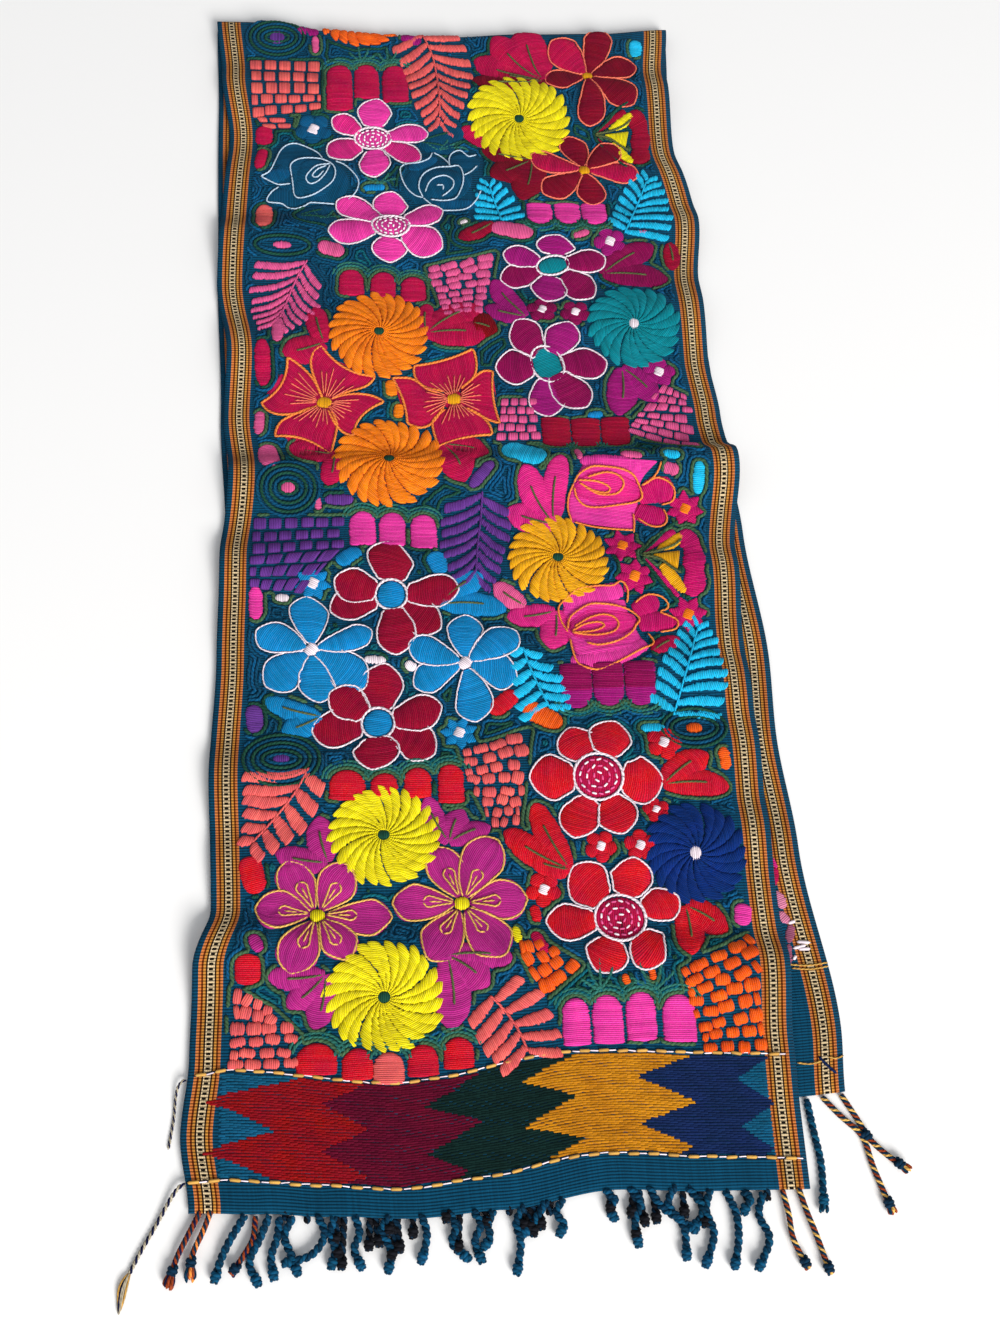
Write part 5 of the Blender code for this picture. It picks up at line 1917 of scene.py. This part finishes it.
class RUNNER_OT_fringe(bpy.types.Operator):
    """Twist and knot the strands along both knotted ends"""
    bl_idname = "runner.fringe"
    bl_label = "Fringe"

    def execute(self, context):
        upper = Needlework(980, surface=0.0)
        for number, flat in enumerate(UPPER_FRINGE):
            yarns = UPPER_PLIES.get(number, PLAIN)
            points = np.reshape(flat, (-1, 2))
            wander = [(x + upper.random.normal(0, 0.6), y) for x, y in points[1:-1]]
            fat = len(yarns) > 2
            strand(upper, yarns, (points[0], *wander, points[-1]), (3.6, 4.4, 2.8), 1.85 if fat else 2.65,
                   tail=11.0 if fat and points[0][0] < 20 else 3.6)
        lower = Needlework(981, surface=0.0)
        for row in LOWER_FRINGE:
            lower_strand(lower, *row)
        for yarns, *flat in CORNER_STRANDS:
            strand(lower, yarns, np.reshape(flat, (-1, 2)), (2.3, 2.3, 2.4), 1.9 if len(yarns) > 2 else 2.5,
                   tail=7.0)
        knot(lower, STRIPED, (411, 31, 3.6), (1.0, -1.2, 0.0))
        upper.finish("fringe_upper_visual", "fringe_yarn", in_frame)
        lower.finish("fringe_lower_visual", "fringe_yarn", in_frame)
        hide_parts("fringe_upper")
        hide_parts("fringe_lower")
        return {"FINISHED"}


# On the strip of the lower layer: threads, slips and patches.
STRIP_THREADS = ((139.5, 376, 402), (137.0, 378, 402), (76.5, 374, 390), (79.5, 394, 404))
STRIP_SLIPS = (((385, 151), 0.2, 9), ((388, 154), -0.1, 9), ((388, 149.5), 0.0, 8), ((382, 167.5), 0.3, 5),
               ((381, 144), 0.9, 3.4))
STRIP_PATCHES = (("mauve", (377, 145), (17, 5), 80), ("mauve", (380, 160), (13, 6.5), 75),
                 ("blush", (377, 171), (10, 7), 130), ("blush", (376, 183), (13, 8), 110),
                 ("cerise", (374.5, 199), (13, 6), 80), ("rose", (375.5, 208), (8, 3), 100))


class RUNNER_OT_lower_strip(bpy.types.Operator):
    """Sew what shows on the strip of the lower layer beside the upper one"""
    bl_idname = "runner.lower_strip"
    bl_label = "Lower strip"

    def execute(self, context):
        work = Needlework(990, surface=0.55)
        for y, left, right in STRIP_THREADS:
            work.line("flax", ((left, y), ((left + right) / 2, y - 1.0), (right, y + 0.6)), 0.6, 0.5)
        work.line("indigo", ((388, 80), (393, 74), (398, 69)), 0.9, 0.5)
        for middle, heading, length in STRIP_SLIPS:
            work.dash("white", middle, heading, length, 2.7, 1.4)
        for shape in STRIP_PATCHES:
            bit(work, *shape, height=1.0)
        work.finish("lower_strip_stitches", lay=lie_low)
        return {"FINISHED"}


def make_tail(name, node, points, radius, far_end):
    """A loose end of the running stitch: a thin twisted cord that leaves the left edge, and
    ends bare or in a knot of loose loops."""
    work = Needlework(len(points) + 985)
    at, line, way, _, _ = along_way(points, 0.5)
    if far_end == "knot":
        stop = int(np.searchsorted(at, at[-1] - 22))
        rope(work, TAIL_YARNS, line[:stop + 1][::4], radius, 6.0)
        for number in range(7):
            side = np.cross(way[stop], UP) * cos(number * 2.4)
            share = np.linspace(0.0, 1.0, 24)[:, None]
            bulge = np.sin(share * pi) ** 0.8 * 3.0 * work.random.uniform(0.6, 1.0)
            loose = line[np.linspace(stop - 3, len(line) - 1 - number % 3 * 3, 24).astype(int)]
            path = loose + side * bulge + np.array(UP) * (abs(sin(number * 2.4)) * bulge * 0.6)
            work.tube(("tow", "flax", "tow", "midnight")[number % 4], path, 0.6,
                      np.broadcast_to(UP, path.shape), end=0.4)
    else:
        rope(work, TAIL_YARNS, line[::4], radius, 5.0)
    piece = work.finish(name, "embroidery_yarn", in_frame)
    path = in_frame(line * MM)
    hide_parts(node)


class RUNNER_OT_tails(bpy.types.Operator):
    """Twist the two loose ends of the running stitches"""
    bl_idname = "runner.tails"
    bl_label = "Tails"

    def execute(self, context):
        make_tail("tail_long_visual", "stitch_tail_long", LONG_TAIL, 1.4, "knot")
        make_tail("tail_short_visual", "stitch_tail_short", SHORT_TAIL, 1.0, "bare")
        return {"FINISHED"}


# ---- panel and main

OPERATORS = (
    RUNNER_OT_stage, RUNNER_OT_cloth, RUNNER_OT_petal_flowers, RUNNER_OT_pinwheels, RUNNER_OT_bricks,
    RUNNER_OT_ferns, RUNNER_OT_tabs, RUNNER_OT_leaves, RUNNER_OT_roses, RUNNER_OT_stars,
    RUNNER_OT_small_flowers, RUNNER_OT_rings, RUNNER_OT_patches, RUNNER_OT_ground, RUNNER_OT_band,
    RUNNER_OT_running_stitches, RUNNER_OT_fringe, RUNNER_OT_lower_strip, RUNNER_OT_tails,
)
GROUPS = {"runner_cloth": RunnerCloth, "runner_yarn": RunnerYarn, "runner_colours": RunnerColours,
          "runner_stage": RunnerStage}


class RUNNER_PT_panel(bpy.types.Panel):
    """Buttons for each group of pieces, and the sizes and colours"""
    bl_idname = "RUNNER_PT_panel"
    bl_label = "Table Runner"
    bl_space_type = "VIEW_3D"
    bl_region_type = "UI"
    bl_category = "Runner"

    def draw(self, context):
        for operator in OPERATORS:
            self.layout.operator(operator.bl_idname)
        for name, group in GROUPS.items():
            for key in group.__annotations__:
                self.layout.prop(settings(name), key)


def register():
    for group in GROUPS.values():
        bpy.utils.register_class(group)
    for name, group in GROUPS.items():
        setattr(bpy.types.Scene, name, bpy.props.PointerProperty(type=group))
    for kind in (*OPERATORS, RUNNER_PT_panel):
        bpy.utils.register_class(kind)


def unregister():
    for kind in reversed((*OPERATORS, RUNNER_PT_panel)):
        bpy.utils.unregister_class(kind)
    for name, group in GROUPS.items():
        delattr(bpy.types.Scene, name)
        bpy.utils.unregister_class(group)


def main():
    register()
    for operator in OPERATORS:
        group, name = operator.bl_idname.split(".")
        getattr(getattr(bpy.ops, group), name)()


if __name__ == "__main__":
    main()
